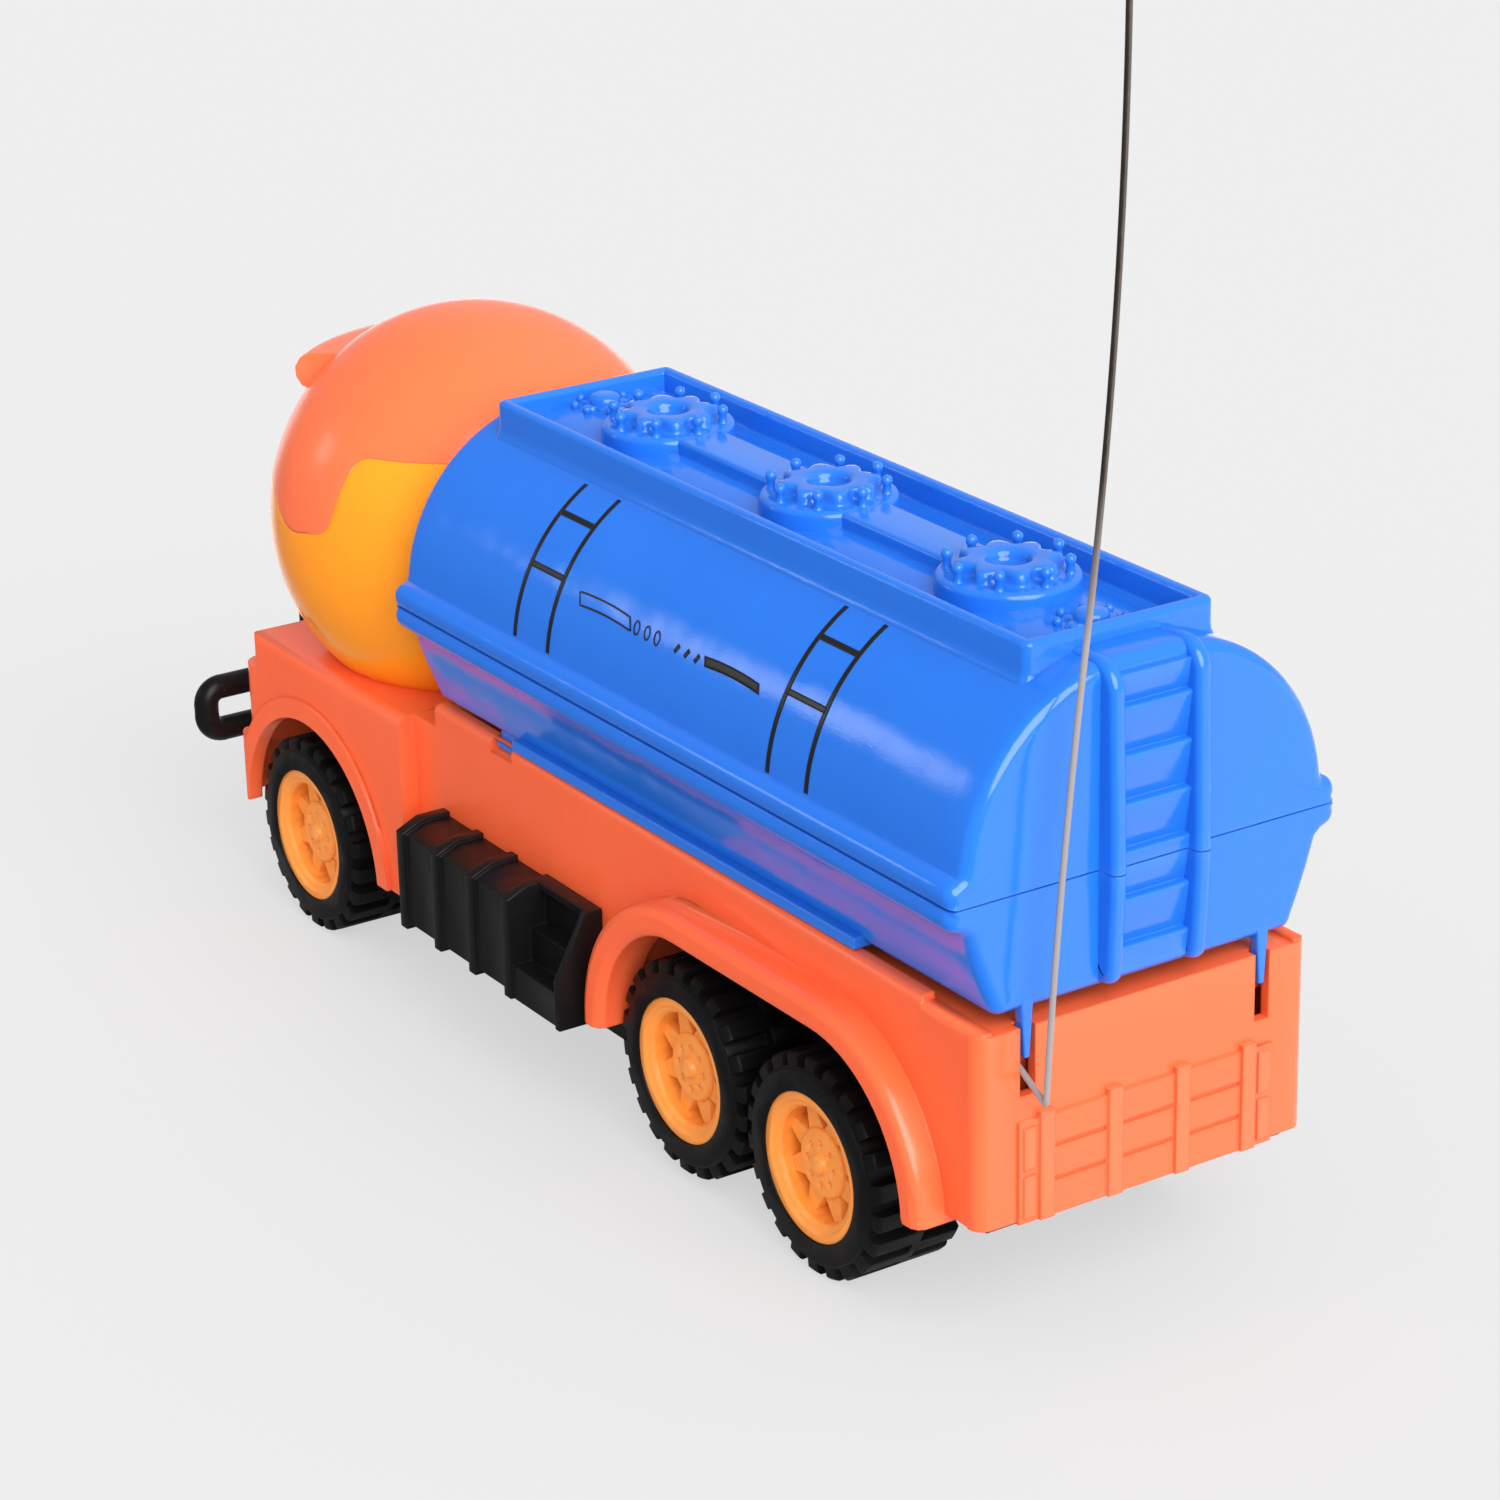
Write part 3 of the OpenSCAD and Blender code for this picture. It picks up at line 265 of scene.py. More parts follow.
soften("chassis", "base_plate", LORRY, "black_plastic", BLACK, edge=0.15)
LUGS = 8
LUG_FROM, LUG_TO = 5.0, 10.3     # a lug's reach from the axle
LUG_ROOT, LUG_FACE = 27.9, 32.4  # lugs stand between these distances from the lorry's middle
LUG_SLACK = 0.2                  # and are taken this much longer at both ends
FADE_AT, FADE_OVER = 3.4, 2.2    # across a lug, the widening ends here and grows over this
BLUNT = 0.8                      # how much wider a lug gets at the lip


def vertices(mesh):
    """Where a mesh's vertices are, in metres, one row each."""
    co = np.empty(3 * len(mesh.vertices))
    mesh.vertices.foreach_get("co", co)
    return co.reshape(-1, 3)


def blunt(piece):
    """Widens a rim copy's lugs toward the lip, as the photograph shows: a vertex at w across a
    lug and d along it goes to w (1 + BLUNT t f), t running 0 to 1 along the lug and f fading
    from 1 at the lug to 0 between lugs."""
    v = vertices(piece.data)
    cx, cz = (v[:, 0].min() + v[:, 0].max()) / 2, (v[:, 2].min() + v[:, 2].max()) / 2
    x, z = (v[:, 0] - cx) / MM, (v[:, 2] - cz) / MM
    depth = np.abs(v[:, 1]) / MM
    pitch = 2 * math.pi / LUGS
    turn = np.arctan2(z, x)
    lug = (np.floor(turn / pitch) + 0.5) * pitch
    r = np.hypot(x, z)
    d, w = r * np.cos(turn - lug), r * np.sin(turn - lug)
    t = np.clip((d - LUG_FROM) / (LUG_TO - LUG_FROM), 0, 1)
    f = np.clip((FADE_AT - np.abs(w)) / FADE_OVER, 0, 1)
    on = (depth > LUG_ROOT) & (depth < LUG_FACE) & (r > LUG_FROM - LUG_SLACK) & (r < LUG_TO + LUG_SLACK)
    w = np.where(on, w * (1 + BLUNT * t * f), w)
    v[:, 0] = cx + (d * np.cos(lug) - w * np.sin(lug)) * MM
    v[:, 2] = cz + (d * np.sin(lug) + w * np.cos(lug)) * MM
    piece.data.vertices.foreach_set("co", v.ravel())


rims = {}
AXLE_BODY = {"rear": "rear_wheels", "middle": "middle_wheels"}
for axle in ("rear", "middle", "front"):
    for hand in ("left", "right"):
        body = AXLE_BODY.get(axle, "front_wheel_" + hand[0])
        soften(f"{axle}_tyre_{hand}_skin", f"{axle}_tyre_{hand}", body, "tyre", TYRE, edge=0.3)
        rims[axle, hand] = soften(f"{axle}_rim_{hand}_skin", f"{axle}_rim_{hand}", body, "amber_plastic",
                                  AMBER, edge=0.12)
        blunt(rims[axle, hand])


def metal(name, colour, rough):
    """Bare or plated metal: drawn scratches in the roughness, faint patches in the colour."""
    m = bpy.data.materials.new(name)
    m.use_nodes = True
    n, link = m.node_tree.nodes, m.node_tree.links.new
    shader = n["Principled BSDF"]
    at, noise = n.new("ShaderNodeTexCoord"), n.new("ShaderNodeTexNoise")
    noise.inputs["Scale"].default_value = 700.0
    spread = ramp(n, 0.0, 1.0, rough - 0.08, rough + 0.12)
    link(at.outputs["Object"], noise.inputs["Vector"])
    link(noise.outputs["Fac"], spread.inputs["Value"])
    link(spread.outputs["Result"], shader.inputs["Roughness"])
    tone = n.new("ShaderNodeHueSaturation")
    tone.inputs["Color"].default_value = colour
    vary = ramp(n, 0.0, 1.0, 0.85, 1.1)
    link(noise.outputs["Fac"], vary.inputs["Value"])
    link(vary.outputs["Result"], tone.inputs["Value"])
    link(tone.outputs["Color"], shader.inputs["Base Color"])
    shader.inputs["Metallic"].default_value = 1.0
    return m


FINISH = {
    "steel": metal("plated_steel", srgb(178, 166, 150), 0.28),
    "brass": metal("brass", srgb(200, 165, 90), 0.3),
    "copper": metal("lacquered_copper", srgb(200, 110, 60), 0.35),
    # The second colour of each plastic is its painted edge highlight.
    "white_plastic": plastic("natural_nylon", srgb(226, 226, 220), srgb(245, 245, 240), 0.4),
    "cell_sleeve": plastic("cell_sleeve", srgb(60, 130, 70), srgb(120, 180, 120), 0.3),
    "board": plastic("circuit_board", srgb(35, 95, 55), srgb(90, 150, 100), 0.4),
    "black_plastic": BLACK,
}
for part in frame["record"]["subparts"]:
    if part["material_slot"] in FINISH:
        data = frame["nodes"][part["node"]].data
        data.materials.clear()
        data.materials.append(FINISH[part["material_slot"]])

# ------------------------------------------------------------------ body
# The orange tub with its tailgate panels and wheel arches, the lamps, the lockers and the bull
# bar are softened copies of the CAD. The tub keeps its shape, and its broad soft edges are in
# its material, because its thin walls leave no room for a bevel.
# The second colour is the painted edge highlight, a lit copy of the orange.
ORANGE = plastic("orange_moulding", (0.97, 0.134, 0.042, 1), (1.0, 0.24, 0.12, 1), 0.2,
                 lift=0.00018, corner=0.55)
body_piece = soften("body", "body_shell", LORRY, "orange_plastic", ORANGE, edge=0)
for hand in ("left", "right"):
    soften("locker_" + hand, "side_box_" + hand, LORRY, "black_plastic", BLACK, edge=0.4)
soften("bull_bar_tube", "bull_bar", LORRY, "black_plastic", BLACK, edge=0)


def clear(name, colour, rough, through):
    """Clear or smoked plastic: a Principled shader that lets part of the light through, with a
    faint ripple in its surface."""
    m = bpy.data.materials.new(name)
    m.use_nodes = True
    n, link = m.node_tree.nodes, m.node_tree.links.new
    shader, at, noise, bump = (n["Principled BSDF"], n.new("ShaderNodeTexCoord"),
                               n.new("ShaderNodeTexNoise"), n.new("ShaderNodeBump"))
    noise.inputs["Scale"].default_value = 120.0
    bump.inputs["Distance"].default_value = 0.0001
    link(at.outputs["Object"], noise.inputs["Vector"])
    link(noise.outputs["Fac"], bump.inputs["Height"])
    link(bump.outputs["Normal"], shader.inputs["Normal"])
    shader.inputs["Base Color"].default_value = colour
    shader.inputs["Roughness"].default_value = rough
    shader.inputs["Transmission Weight"].default_value = through
    shader.inputs["IOR"].default_value = 1.49
    return m


LENS = clear("clear_lens", (0.92, 0.93, 0.95, 1), 0.06, 0.75)
for hand in ("left", "right"):
    soften("lamp_" + hand, "headlight_lens_" + hand, LORRY, "clear_lens", LENS, edge=0.25)

# ------------------------------------------------------------------ tank halves
# Two closed shells meet at the seam. Each is one cross-section pushed along X; at both ends the
# section draws in on a quarter circle, and the front face is hollowed to clear the cab's ball.
TANK_LEN = 177.0
TAIL_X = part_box("tank_upper")[1].x - TANK_LEN * MM   # the tailgate's face, where x is 0 in mm
SEAM_Z = 83.8
TANK_R = 33.0                # radius of the tank's shoulder, about (ARC_Y, ARC_Z)
ARC_Y, ARC_Z = 3.3, 85.75
SEAM_GAP = 0.12              # half of the dark line between the halves
END_R = 2.3                  # round of the edges at both ends
CAB = np.array((212.2, 0.0, 85.8))   # middle of the cab's ball
DISH_R = 41.47               # radius of the hollow about it
BEAD_Y, BEAD_R = 36.53, 2.6  # the round bead along each side of the seam
# The second colour is the painted edge highlight, a lit copy of the blue.
BLUE = plastic("blue_moulding", (0.016, 0.158, 0.69, 1), (0.10, 0.33, 0.95, 1), 0.09,
               wave=60, lift=0.00032)


def place(points):
    """Millimetres measured from the tailgate, as metres in the CAD frame: x / 1000 + TAIL_X."""
    out = np.asarray(points, float) * MM
    out[..., 0] += TAIL_X
    return out


def skin(name, rings, sharp=32.0):
    """A closed mesh from rings of equal length (n, m, 3), in millimetres from the tailgate:
    quads join ring i to ring i + 1, and each end closes on the mean of its last ring. The faces
    are turned outward by the sign of the enclosed volume, sum(a . (b x c)) / 6."""
    rings = np.asarray(rings, float)
    n, m, _ = rings.shape
    verts = np.concatenate([rings.reshape(-1, 3), rings[:1].mean(1), rings[-1:].mean(1)])
    k, i = np.meshgrid(np.arange(m), np.arange(n - 1))
    a, b = i * m + k, i * m + (k + 1) % m
    quads = np.stack([a, b, b + m, a + m], -1).reshape(-1, 4)
    e = np.arange(m)
    low = np.stack([(e + 1) % m, e, np.full(m, n * m)], 1)
    high = np.stack([(n - 1) * m + e, (n - 1) * m + (e + 1) % m, np.full(m, n * m + 1)], 1)
    tris = np.concatenate([quads[:, [0, 1, 2]], quads[:, [0, 2, 3]], low, high])
    p = verts[tris]
    if np.einsum("ij,ij->", p[:, 0], np.cross(p[:, 1], p[:, 2])) < 0:
        quads, low, high = quads[:, ::-1], low[:, ::-1], high[:, ::-1]
    mesh = bpy.data.meshes.new(name)
    mesh.from_pydata(place(verts), [], quads.tolist() + low.tolist() + high.tolist())
    mesh.shade_smooth()
    mesh.set_sharp_from_angle(angle=math.radians(sharp))
    return mesh


def arc(cx, cy, r, a0, a1, n):
    """Points on a circle from angle a0 to a1, in degrees."""
    a = np.radians(np.linspace(a0, a1, n))
    return np.stack([cx + r * np.cos(a), cy + r * np.sin(a)], 1)


def blue(name, mesh, *nodes):
    """A blue moulding that is fixed to the lorry."""
    return show(name, mesh, LORRY, "blue_plastic", BLUE, *nodes)


def pushed(name, section, nodes):
    """A shell from a closed (y, z) section. Near an end the section is drawn in by
    END_R (1 - sin t) while x runs END_R (1 - cos t); the face then closes in rings toward the
    middle, each point held back to x = cab_x - sqrt(R^2 - y^2 - (z - cab_z)^2) by the dish."""
    section = np.asarray(section, float)
    edge = np.roll(section, -1, 0) - np.roll(section, 1, 0)
    normal = np.stack([edge[:, 1], -edge[:, 0]], 1) / np.linalg.norm(edge, axis=1)[:, None]
    area = np.sum(section[:, 0] * np.roll(section[:, 1], -1) - np.roll(section[:, 0], -1) * section[:, 1])
    normal *= np.sign(area)
    normal[np.abs(section[:, 1] - SEAM_Z) < 0.5] *= (1, 0)
    middle = np.array((0.0, section[:, 1].mean()))
    angles = np.radians(np.linspace(0, 90, 7))
    ends = [(END_R * (1 - math.cos(a)), section - END_R * (1 - math.sin(a)) * normal) for a in angles]
    shrink = np.linspace(1, 0.02, 16)[1:]
    flat = [(0.0, middle + (ends[0][1] - middle) * share) for share in shrink]
    back = [(x, yz) for x, yz in flat[::-1] + ends]
    front = [(TANK_LEN - x, yz) for x, yz in ends[::-1] + flat]
    body = [(x, section) for x in np.linspace(END_R, TANK_LEN - END_R, 40)[1:-1]]
    rings = np.array([np.column_stack([np.full(len(yz), x), yz]) for x, yz in back + body + front])
    inside = DISH_R ** 2 - rings[..., 1] ** 2 - (rings[..., 2] - CAB[2]) ** 2
    dish = CAB[0] - np.sqrt(np.maximum(inside, 0))
    rings[..., 0] = np.where(inside > 0, np.minimum(rings[..., 0], dish), rings[..., 0])
    return blue(name, skin(name, rings, 40), *nodes)


upper_half = np.concatenate([
    [(30.0, SEAM_Z + SEAM_GAP), (37.6, SEAM_Z + SEAM_GAP), (38.6, SEAM_Z + SEAM_GAP + 0.12)],
    arc(BEAD_Y, 85.7, BEAD_R, -32, 75, 9), [(36.35, 88.5)],
    arc(ARC_Y, ARC_Z, TANK_R, 6, 90, 34)])
tank_top = pushed("tank_top", np.concatenate([upper_half, (upper_half * (-1, 1))[::-1]]), ["tank_upper"])
lower_half = np.concatenate([
    [(30.0, SEAM_Z - SEAM_GAP), (37.6, SEAM_Z - SEAM_GAP), (38.6, SEAM_Z - SEAM_GAP - 0.12)],
    arc(BEAD_Y, 81.9, BEAD_R, 32, -65, 9), [(36.3, 79.0), (35.4, 78.3), (34.0, 73.8), (32.3, 69.2)],
    arc(28.3, 65.7, 2.4, -10, -90, 7), [(20, 63.3), (8, 63.3)]])
pushed("tank_base", np.concatenate([lower_half, (lower_half * (-1, 1))[::-1]]), ["tank_lower"])

# ------------------------------------------------------------------ tray, walkway and hatches
# The tray is a rounded wall with a floor; a walkway joins three hatches inside it. Each hatch is
# a disc with a scalloped handwheel and eight ball studs, and a small vent stands at each end.
TRAY_X = (7.67, 170.2)
TRAY_Y = 18.78
TRAY_CX = sum(TRAY_X) / 2
HATCH_PITCH = 51.5
HATCH_X = [TRAY_CX + k * HATCH_PITCH for k in (-1, 0, 1)]
STUDS = 8                    # round each hatch and each vent
VENT_IN = 7.76               # a vent's middle stands this far in from the tray's end


def plateau(name, cx, ax, ay, corner, steps):
    """A rounded rectangle that goes through steps of (inset, z): half sizes ax - d and ay - d
    and corner radius max(corner - d, 0.3), with 10 points to a corner."""
    rings = []
    for d, z in steps:
        hx, hy = max(ax - d, 0.4), max(ay - d, 0.05)
        r = min(max(corner - d, 0.3), hx, hy)
        pts = []
        for sx, sy, a in ((1, 1, 0), (-1, 1, 90), (-1, -1, 180), (1, -1, 270)):
            pts.append(arc(sx * (hx - r), sy * (hy - r), r, a, a + 90, 10))
        loop = np.concatenate(pts)
        rings.append(np.column_stack([loop + (cx, 0), np.full(len(loop), z)]))
    return skin(name, rings, 50)


def quarter(d, z, r, a0, a1):
    """Five steps of (inset, z) along an arc, for plateau."""
    return [tuple(p) for p in arc(d, z, r, a0, a1, 5)]


tray = plateau("tray", TRAY_CX, (TRAY_X[1] - TRAY_X[0]) / 2, TRAY_Y, 1.6,
               [(4, 110), (-0.9, 112.5), (-0.85, 114.4), (-0.45, 115.1), (-0.12, 115.9), (0, 117)]
               + quarter(1.0, 120.4, 1.0, 180, 90) + quarter(1.4, 120.4, 1.0, 90, 0)
               + [(2.4, 117.4)] + quarter(3.0, 117.3, 0.6, 180, 270) + [(8, 116.7), (18.4, 116.7)])
tray_piece = blue("tray", tray)
walk = plateau("walkway", TRAY_CX, HATCH_PITCH + 2, 5, 1.2,
               [(1, 114), (-0.5, 116.6), (-0.1, 117.1), (0, 117.8)]
               + quarter(0.8, 120.38, 0.8, 180, 90) + [(4.9, 121.18)])
blue("walkway", walk)


def turned(name, cx, cy, path, lobes=0, n=96):
    """A turned surface on Z: radius r (1 - wave cos(lobes t)) through a path of (r, z, wave)."""
    t = np.linspace(0, 2 * math.pi, n, endpoint=False)
    rings = []
    for r, z, wave in path:
        reach = r * (1 - wave * np.cos(lobes * t))
        rings.append(np.column_stack([cx + reach * np.cos(t), cy + reach * np.sin(t), np.full(n, z)]))
    return skin(name, rings, 55)


# From the outside in: (radius, z, wave) of a hatch and of a vent, and (radius, height) of a stud.
HATCH = [(12.3, 114, 0), (12.7, 116.5, 0), (12.3, 116.9, 0), (12.2, 117.5, 0), (12.2, 120.3, 0),
         (12.0, 120.9, 0), (11.5, 121.25, 0), (10.8, 121.3, 0), (9.2, 121.3, 0.02), (8.55, 121.42, 0.09),
         (8.2, 121.8, 0.13), (8.1, 122.7, 0.13), (7.9, 123.3, 0.13), (7.5, 123.62, 0.12),
         (6.7, 123.7, 0.08), (5.0, 123.7, 0), (4.1, 123.55, 0), (3.6, 123.1, 0), (3.45, 122.4, 0),
         (3.3, 121.8, 0), (2.8, 121.5, 0), (0.1, 121.5, 0)]
VENT = [(6.3, 115, 0), (6.2, 116.7, 0), (6.0, 117.3, 0), (5.6, 117.6, 0), (4.9, 117.65, 0.08),
        (4.5, 118.3, 0.2), (4.3, 119.0, 0.2), (3.8, 119.4, 0.14), (3.0, 119.4, 0), (2.9, 120.3, 0),
        (2.5, 120.9, 0), (1.8, 121.1, 0), (0.1, 121.1, 0)]
BALL = [(1.05, 0), (0.85, 0.35), (0.72, 0.9), (0.7, 1.7), (0.92, 2.05), (1.0, 2.5), (0.92, 2.95),
        (0.65, 3.3), (0.3, 3.47), (0.02, 3.5)]


def studs(name, x, ring, z, first, wide=1.0, tall=1.0, n=16):
    """Ball studs in a ring about x, at height z: the first stands at the angle first in degrees,
    and wide and tall scale BALL's radii and heights."""
    path = [(wide * r, tall * up + z, 0) for r, up in BALL]
    for i in range(STUDS):
        a = math.radians(360 / STUDS * i + first)
        stud = turned(f"{name}_stud_{i}", x + ring * math.cos(a), ring * math.sin(a), path, n=n)
        blue(f"{name}_stud_{i}", stud)


hatches = []
for k, x in enumerate(HATCH_X):
    hatches.append(blue(f"hatch_{k}", turned(f"hatch_{k}", x, 0, HATCH, 8)))
    studs(f"hatch_{k}", x, 10.1, 121.1, 0)
for k, x in enumerate((TRAY_X[0] + VENT_IN, TRAY_X[1] - VENT_IN)):
    blue(f"vent_{k}", turned(f"vent_{k}", x, 0, VENT, 6))
    studs(f"vent_{k}", x, 5.6, 117.1, 22.5, wide=0.8, tall=0.85, n=14)

# ------------------------------------------------------------------ ladder
# Two rounded rails stand on the rear face and curl over to the tray; shingled steps lie between
# them. Both are split at the seam, as the mouldings are.
RAIL_Y = 8.48
RAIL_X = -3.9                # a rail's outer face at the seam
RAIL_DRAFT = 0.9             # and how far it has leaned in by the rail's ends
RAIL_UP, RAIL_DOWN = 29.0, 19.0      # from the seam to those ends
HANDS = (("left", 1), ("right", -1))


def rail(name, path, y):
    """A rounded bar along a path of (x, z): its section is 3 mm wide with 1.25 mm corners and
    stands out along the path's normal n = (-dz, dx)."""
    path = np.asarray(path, float)
    step = np.gradient(path, axis=0)
    step /= np.linalg.norm(step, axis=1)[:, None]
    outward = np.stack([-step[:, 1], step[:, 0]], 1)
    corner = np.concatenate([[(1.7, -4.6), (1.55, -3.0), (1.5, -1.6)], arc(0.25, -1.25, 1.25, 0, 90, 6)])
    section = np.concatenate([corner, (corner * (-1, 1))[::-1]])
    rings = []
    for p, n in zip(path, outward):
        ring = [p[0] + section[:, 1] * n[0], y + section[:, 0], p[1] + section[:, 1] * n[1]]
        rings.append(np.column_stack(ring))
    return blue(name, skin(name, rings, 60))


def rail_path(z):
    """The rail's outer face: x is RAIL_X at the seam and drafts by RAIL_DRAFT to both ends."""
    z = np.asarray(z, float)
    reach = np.where(z > SEAM_Z, RAIL_UP, RAIL_DOWN)
    return np.stack([RAIL_X + RAIL_DRAFT * np.abs(z - SEAM_Z) / reach, z], 1)


# A rail's foot turns into the wall like a fingertip, and its head curls over onto the tray.
finger_tip = np.array([(1.6, 64.0), (-0.6, 64.2), (-2.0, 64.7), (-2.8, 65.6)])
low_rail = np.concatenate([finger_tip, rail_path(np.linspace(67, SEAM_Z - SEAM_GAP, 9))])
curl = np.concatenate([arc(2.4, 113.5, 5.5, 176, 92, 14), [(5.5, 118.95), (8.6, 118.9)]])
high_rail = np.concatenate([rail_path(np.linspace(SEAM_Z + SEAM_GAP, 112.6, 12)), curl])
for hand, sign in HANDS:
    rail(f"rail_low_{hand}", low_rail, sign * RAIL_Y)
    rail(f"rail_high_{hand}", high_rail, sign * RAIL_Y)
STEP_HALF = 7.1              # half of a step's width
PITCH = 8.15                 # of the steps, and a step's edge lies STEP_UP above the seam
STEP_UP = 2.8
LIP = ((0.25, -0.25), (0.6, -0.5), (PITCH - 1.1, -1.4), (PITCH - 0.6, -1.55), (PITCH - 0.28, -1.45),
       (PITCH - 0.1, -1.1), (PITCH - 0.02, -0.3))


def shingles(name, z0, z1):
    """Steps in side view: each leans out toward its rounded upper edge, where x is -1.55, and
    breaks back to -0.3. The line is cut at z0 and z1, closed inside the wall and pushed along Y."""
    line = np.array([(x, SEAM_Z + STEP_UP + n * PITCH + up) for n in range(-4, 5) for up, x in LIP])
    mid = line[(line[:, 1] > z0) & (line[:, 1] < z1)]
    low, high = (np.interp(z, line[:, 1], line[:, 0]) for z in (z0, z1))
    prof = np.concatenate([[(1.0, z0), (low, z0)], mid, [(high, z1), (1.0, z1)]])
    rings = [np.column_stack([prof[:, 0], np.full(len(prof), y), prof[:, 1]])
             for y in np.linspace(-STEP_HALF, STEP_HALF, 9)]
    return blue(name, skin(name, rings, 45))


shingles("steps_low", 65.2, SEAM_Z - SEAM_GAP)
shingles("steps_high", SEAM_Z + SEAM_GAP, 116.2)

# ------------------------------------------------------------------ feet, legs and flanges
# Moulded on the lower tank half: a leg stands in each slot of the tailgate, a flange and a small
# hook run along each side, and four stepped feet carry the tank on the tub's deck.
def slab(name, x, y, z, edge, taper=(0.0, 0.0)):
    """A moulded block: x, y and z ranges in mm, its lower face drawn in by taper, edges rounded."""
    rings = []
    for height, draw in ((z[0], 1.0), (z[1], 0.0)):
        x0, x1 = x[0] + draw * taper[0], x[1] - draw * taper[0]
        y0, y1 = y[0] + draw * taper[1], y[1] - draw * taper[1]
        rings.append([(x0, y0, height), (x1, y0, height), (x1, y1, height), (x0, y1, height)])
    return round_edges(blue(name, skin(name, rings)), edge)


def on_side(sign, near, far):
    """The y range from near to far on the left, or the same on the right, lowest first."""
    return (min(sign * near, sign * far), max(sign * near, sign * far))


HOOK_X = (148, 154)
FOOT_X, FOOT_Y = (20, 150), 20
FOOT = [(1.4, 57.7, 0), (1.6, 58.2, 0), (1.6, 60.4, 0), (3.3, 60.75, 0), (3.5, 61.0, 0), (3.5, 64.4, 0)]
for hand, sign in HANDS:
    slab(f"leg_{hand}", (0.05, 2.2), on_side(sign, 22.6, 25.2), (55, 66), 0.35, (0.0, 0.75))
    slab(f"flange_{hand}", (36, 146), on_side(sign, 27, 32.4), (62.75, 65), 0.4)
    slab(f"hook_{hand}", HOOK_X, on_side(sign, 28.5, 30.9), (60.9, 62), 0.2)
    slab(f"hook_stem_{hand}", HOOK_X, on_side(sign, 28.5, 29.9), (61, 64.4), 0.2)
    for i, x in enumerate(FOOT_X):
        blue(f"foot_{hand}_{i}", turned(f"foot_{hand}_{i}", x, sign * FOOT_Y, FOOT, n=32))

# ------------------------------------------------------------------ cab
# A yellow ball with an orange cap that runs down the cheeks in two lobes, a brow over the smoked
# screen, and the screen itself: softened copies of the CAD. The brow and the fronts of the lobes
# are turned about the ball's middle to where the photograph shows them.
BROW_UP = 5.2                # degrees of elevation
BROW_RISE = (17, 28)         # the brow's share grows between these elevations going up,
BROW_FALL = (70, 44)         # these coming down from the top,
BROW_SIDE = (75, 50)         # and these bearings from straight ahead, coming in from the side
LOBE_DOWN = 4.9
LOBE_AT, LOBE_SPREAD = np.array((87.0, 8.0)), np.array((11.0, 13.0))   # degrees from ahead, and up
# The second colours of the yellow and the cap are their painted edge highlights.
YELLOW = plastic("yellow_moulding", (0.96, 0.30, 0.012, 1), (1.0, 0.48, 0.10, 1), 0.16, lift=0.0002)
CAP = plastic("orange_cap_moulding", (0.95, 0.16, 0.055, 1), (1.0, 0.3, 0.16, 1), 0.2, lift=0.0002)
SMOKED = clear("smoked_screen", (0.03, 0.035, 0.045, 1), 0.05, 0.25)


def ease(value, start, end):
    """A smooth step from 0 at start to 1 at end: 3 t^2 - 2 t^3, t being the way between them."""
    t = np.clip((value - start) / (end - start), 0, 1)
    return t * t * (3 - 2 * t)


def remould(piece):
    """Slides a cab copy's vertices over the ball. A vertex keeps its distance r and its bearing,
    and its elevation e becomes e + BROW_UP brow - LOBE_DOWN lobe. The brow's share is three
    smooth steps multiplied, and the lobe's is a bell."""
    w = vertices(piece.data) - place(CAB)
    out = np.maximum(np.hypot(w[:, 0], w[:, 1]), 1e-9)
    r = np.hypot(out, w[:, 2])
    across = np.degrees(np.abs(np.arctan2(w[:, 1], w[:, 0])))
    up = np.degrees(np.arctan2(w[:, 2], out))
    brow = ease(up, *BROW_RISE) * ease(up, *BROW_FALL) * ease(across, *BROW_SIDE)
    lobe = np.exp(-((across - LOBE_AT[0]) / LOBE_SPREAD[0]) ** 2 - ((up - LOBE_AT[1]) / LOBE_SPREAD[1]) ** 2)
    e = np.radians(up + BROW_UP * brow - LOBE_DOWN * lobe)
    w[:, :2] *= (r * np.cos(e) / out)[:, None]
    w[:, 2] = r * np.sin(e)
    piece.data.vertices.foreach_set("co", (w + place(CAB)).ravel())


cab_ball = soften("cab", "cab_shell", LORRY, "yellow_plastic", YELLOW, edge=0.2)
cab_roof = soften("cab_roof", "cab_cap", LORRY, "orange_plastic", CAP, edge=0.5, segments=3)
remould(cab_ball)
remould(cab_roof)
soften("screen", "windscreen", LORRY, "smoked_screen", SMOKED, edge=0.2)

# ------------------------------------------------------------------ aerial
# Springy steel wire in one smooth sweep: a stub out of the rear slot, a tight bend, then two gentle arcs. It
# is dark above, and its lower part is painted pale and dull, a painted reflection of the bright floor.
WIRE_R = 0.55                # radius of the wire
WIRE_X = -6                  # the whip stands in this plane behind the tailgate
BEND = np.array((24.8, 49.5))        # y and z of the tight bend
LOWER_R, UPPER_R = 1060, 804         # radii of the two arcs
BEND_TURN, MEET_TURN = 3.4, 7.5      # degrees on the lower arc, at the bend and where they meet
STUB_LEAN = math.radians(28.5)


def spoke(r, degrees):
    """The way from a circle's centre to its point at an angle: r (cos a, sin a)."""
    return r * np.array((math.cos(math.radians(degrees)), math.sin(math.radians(degrees))))


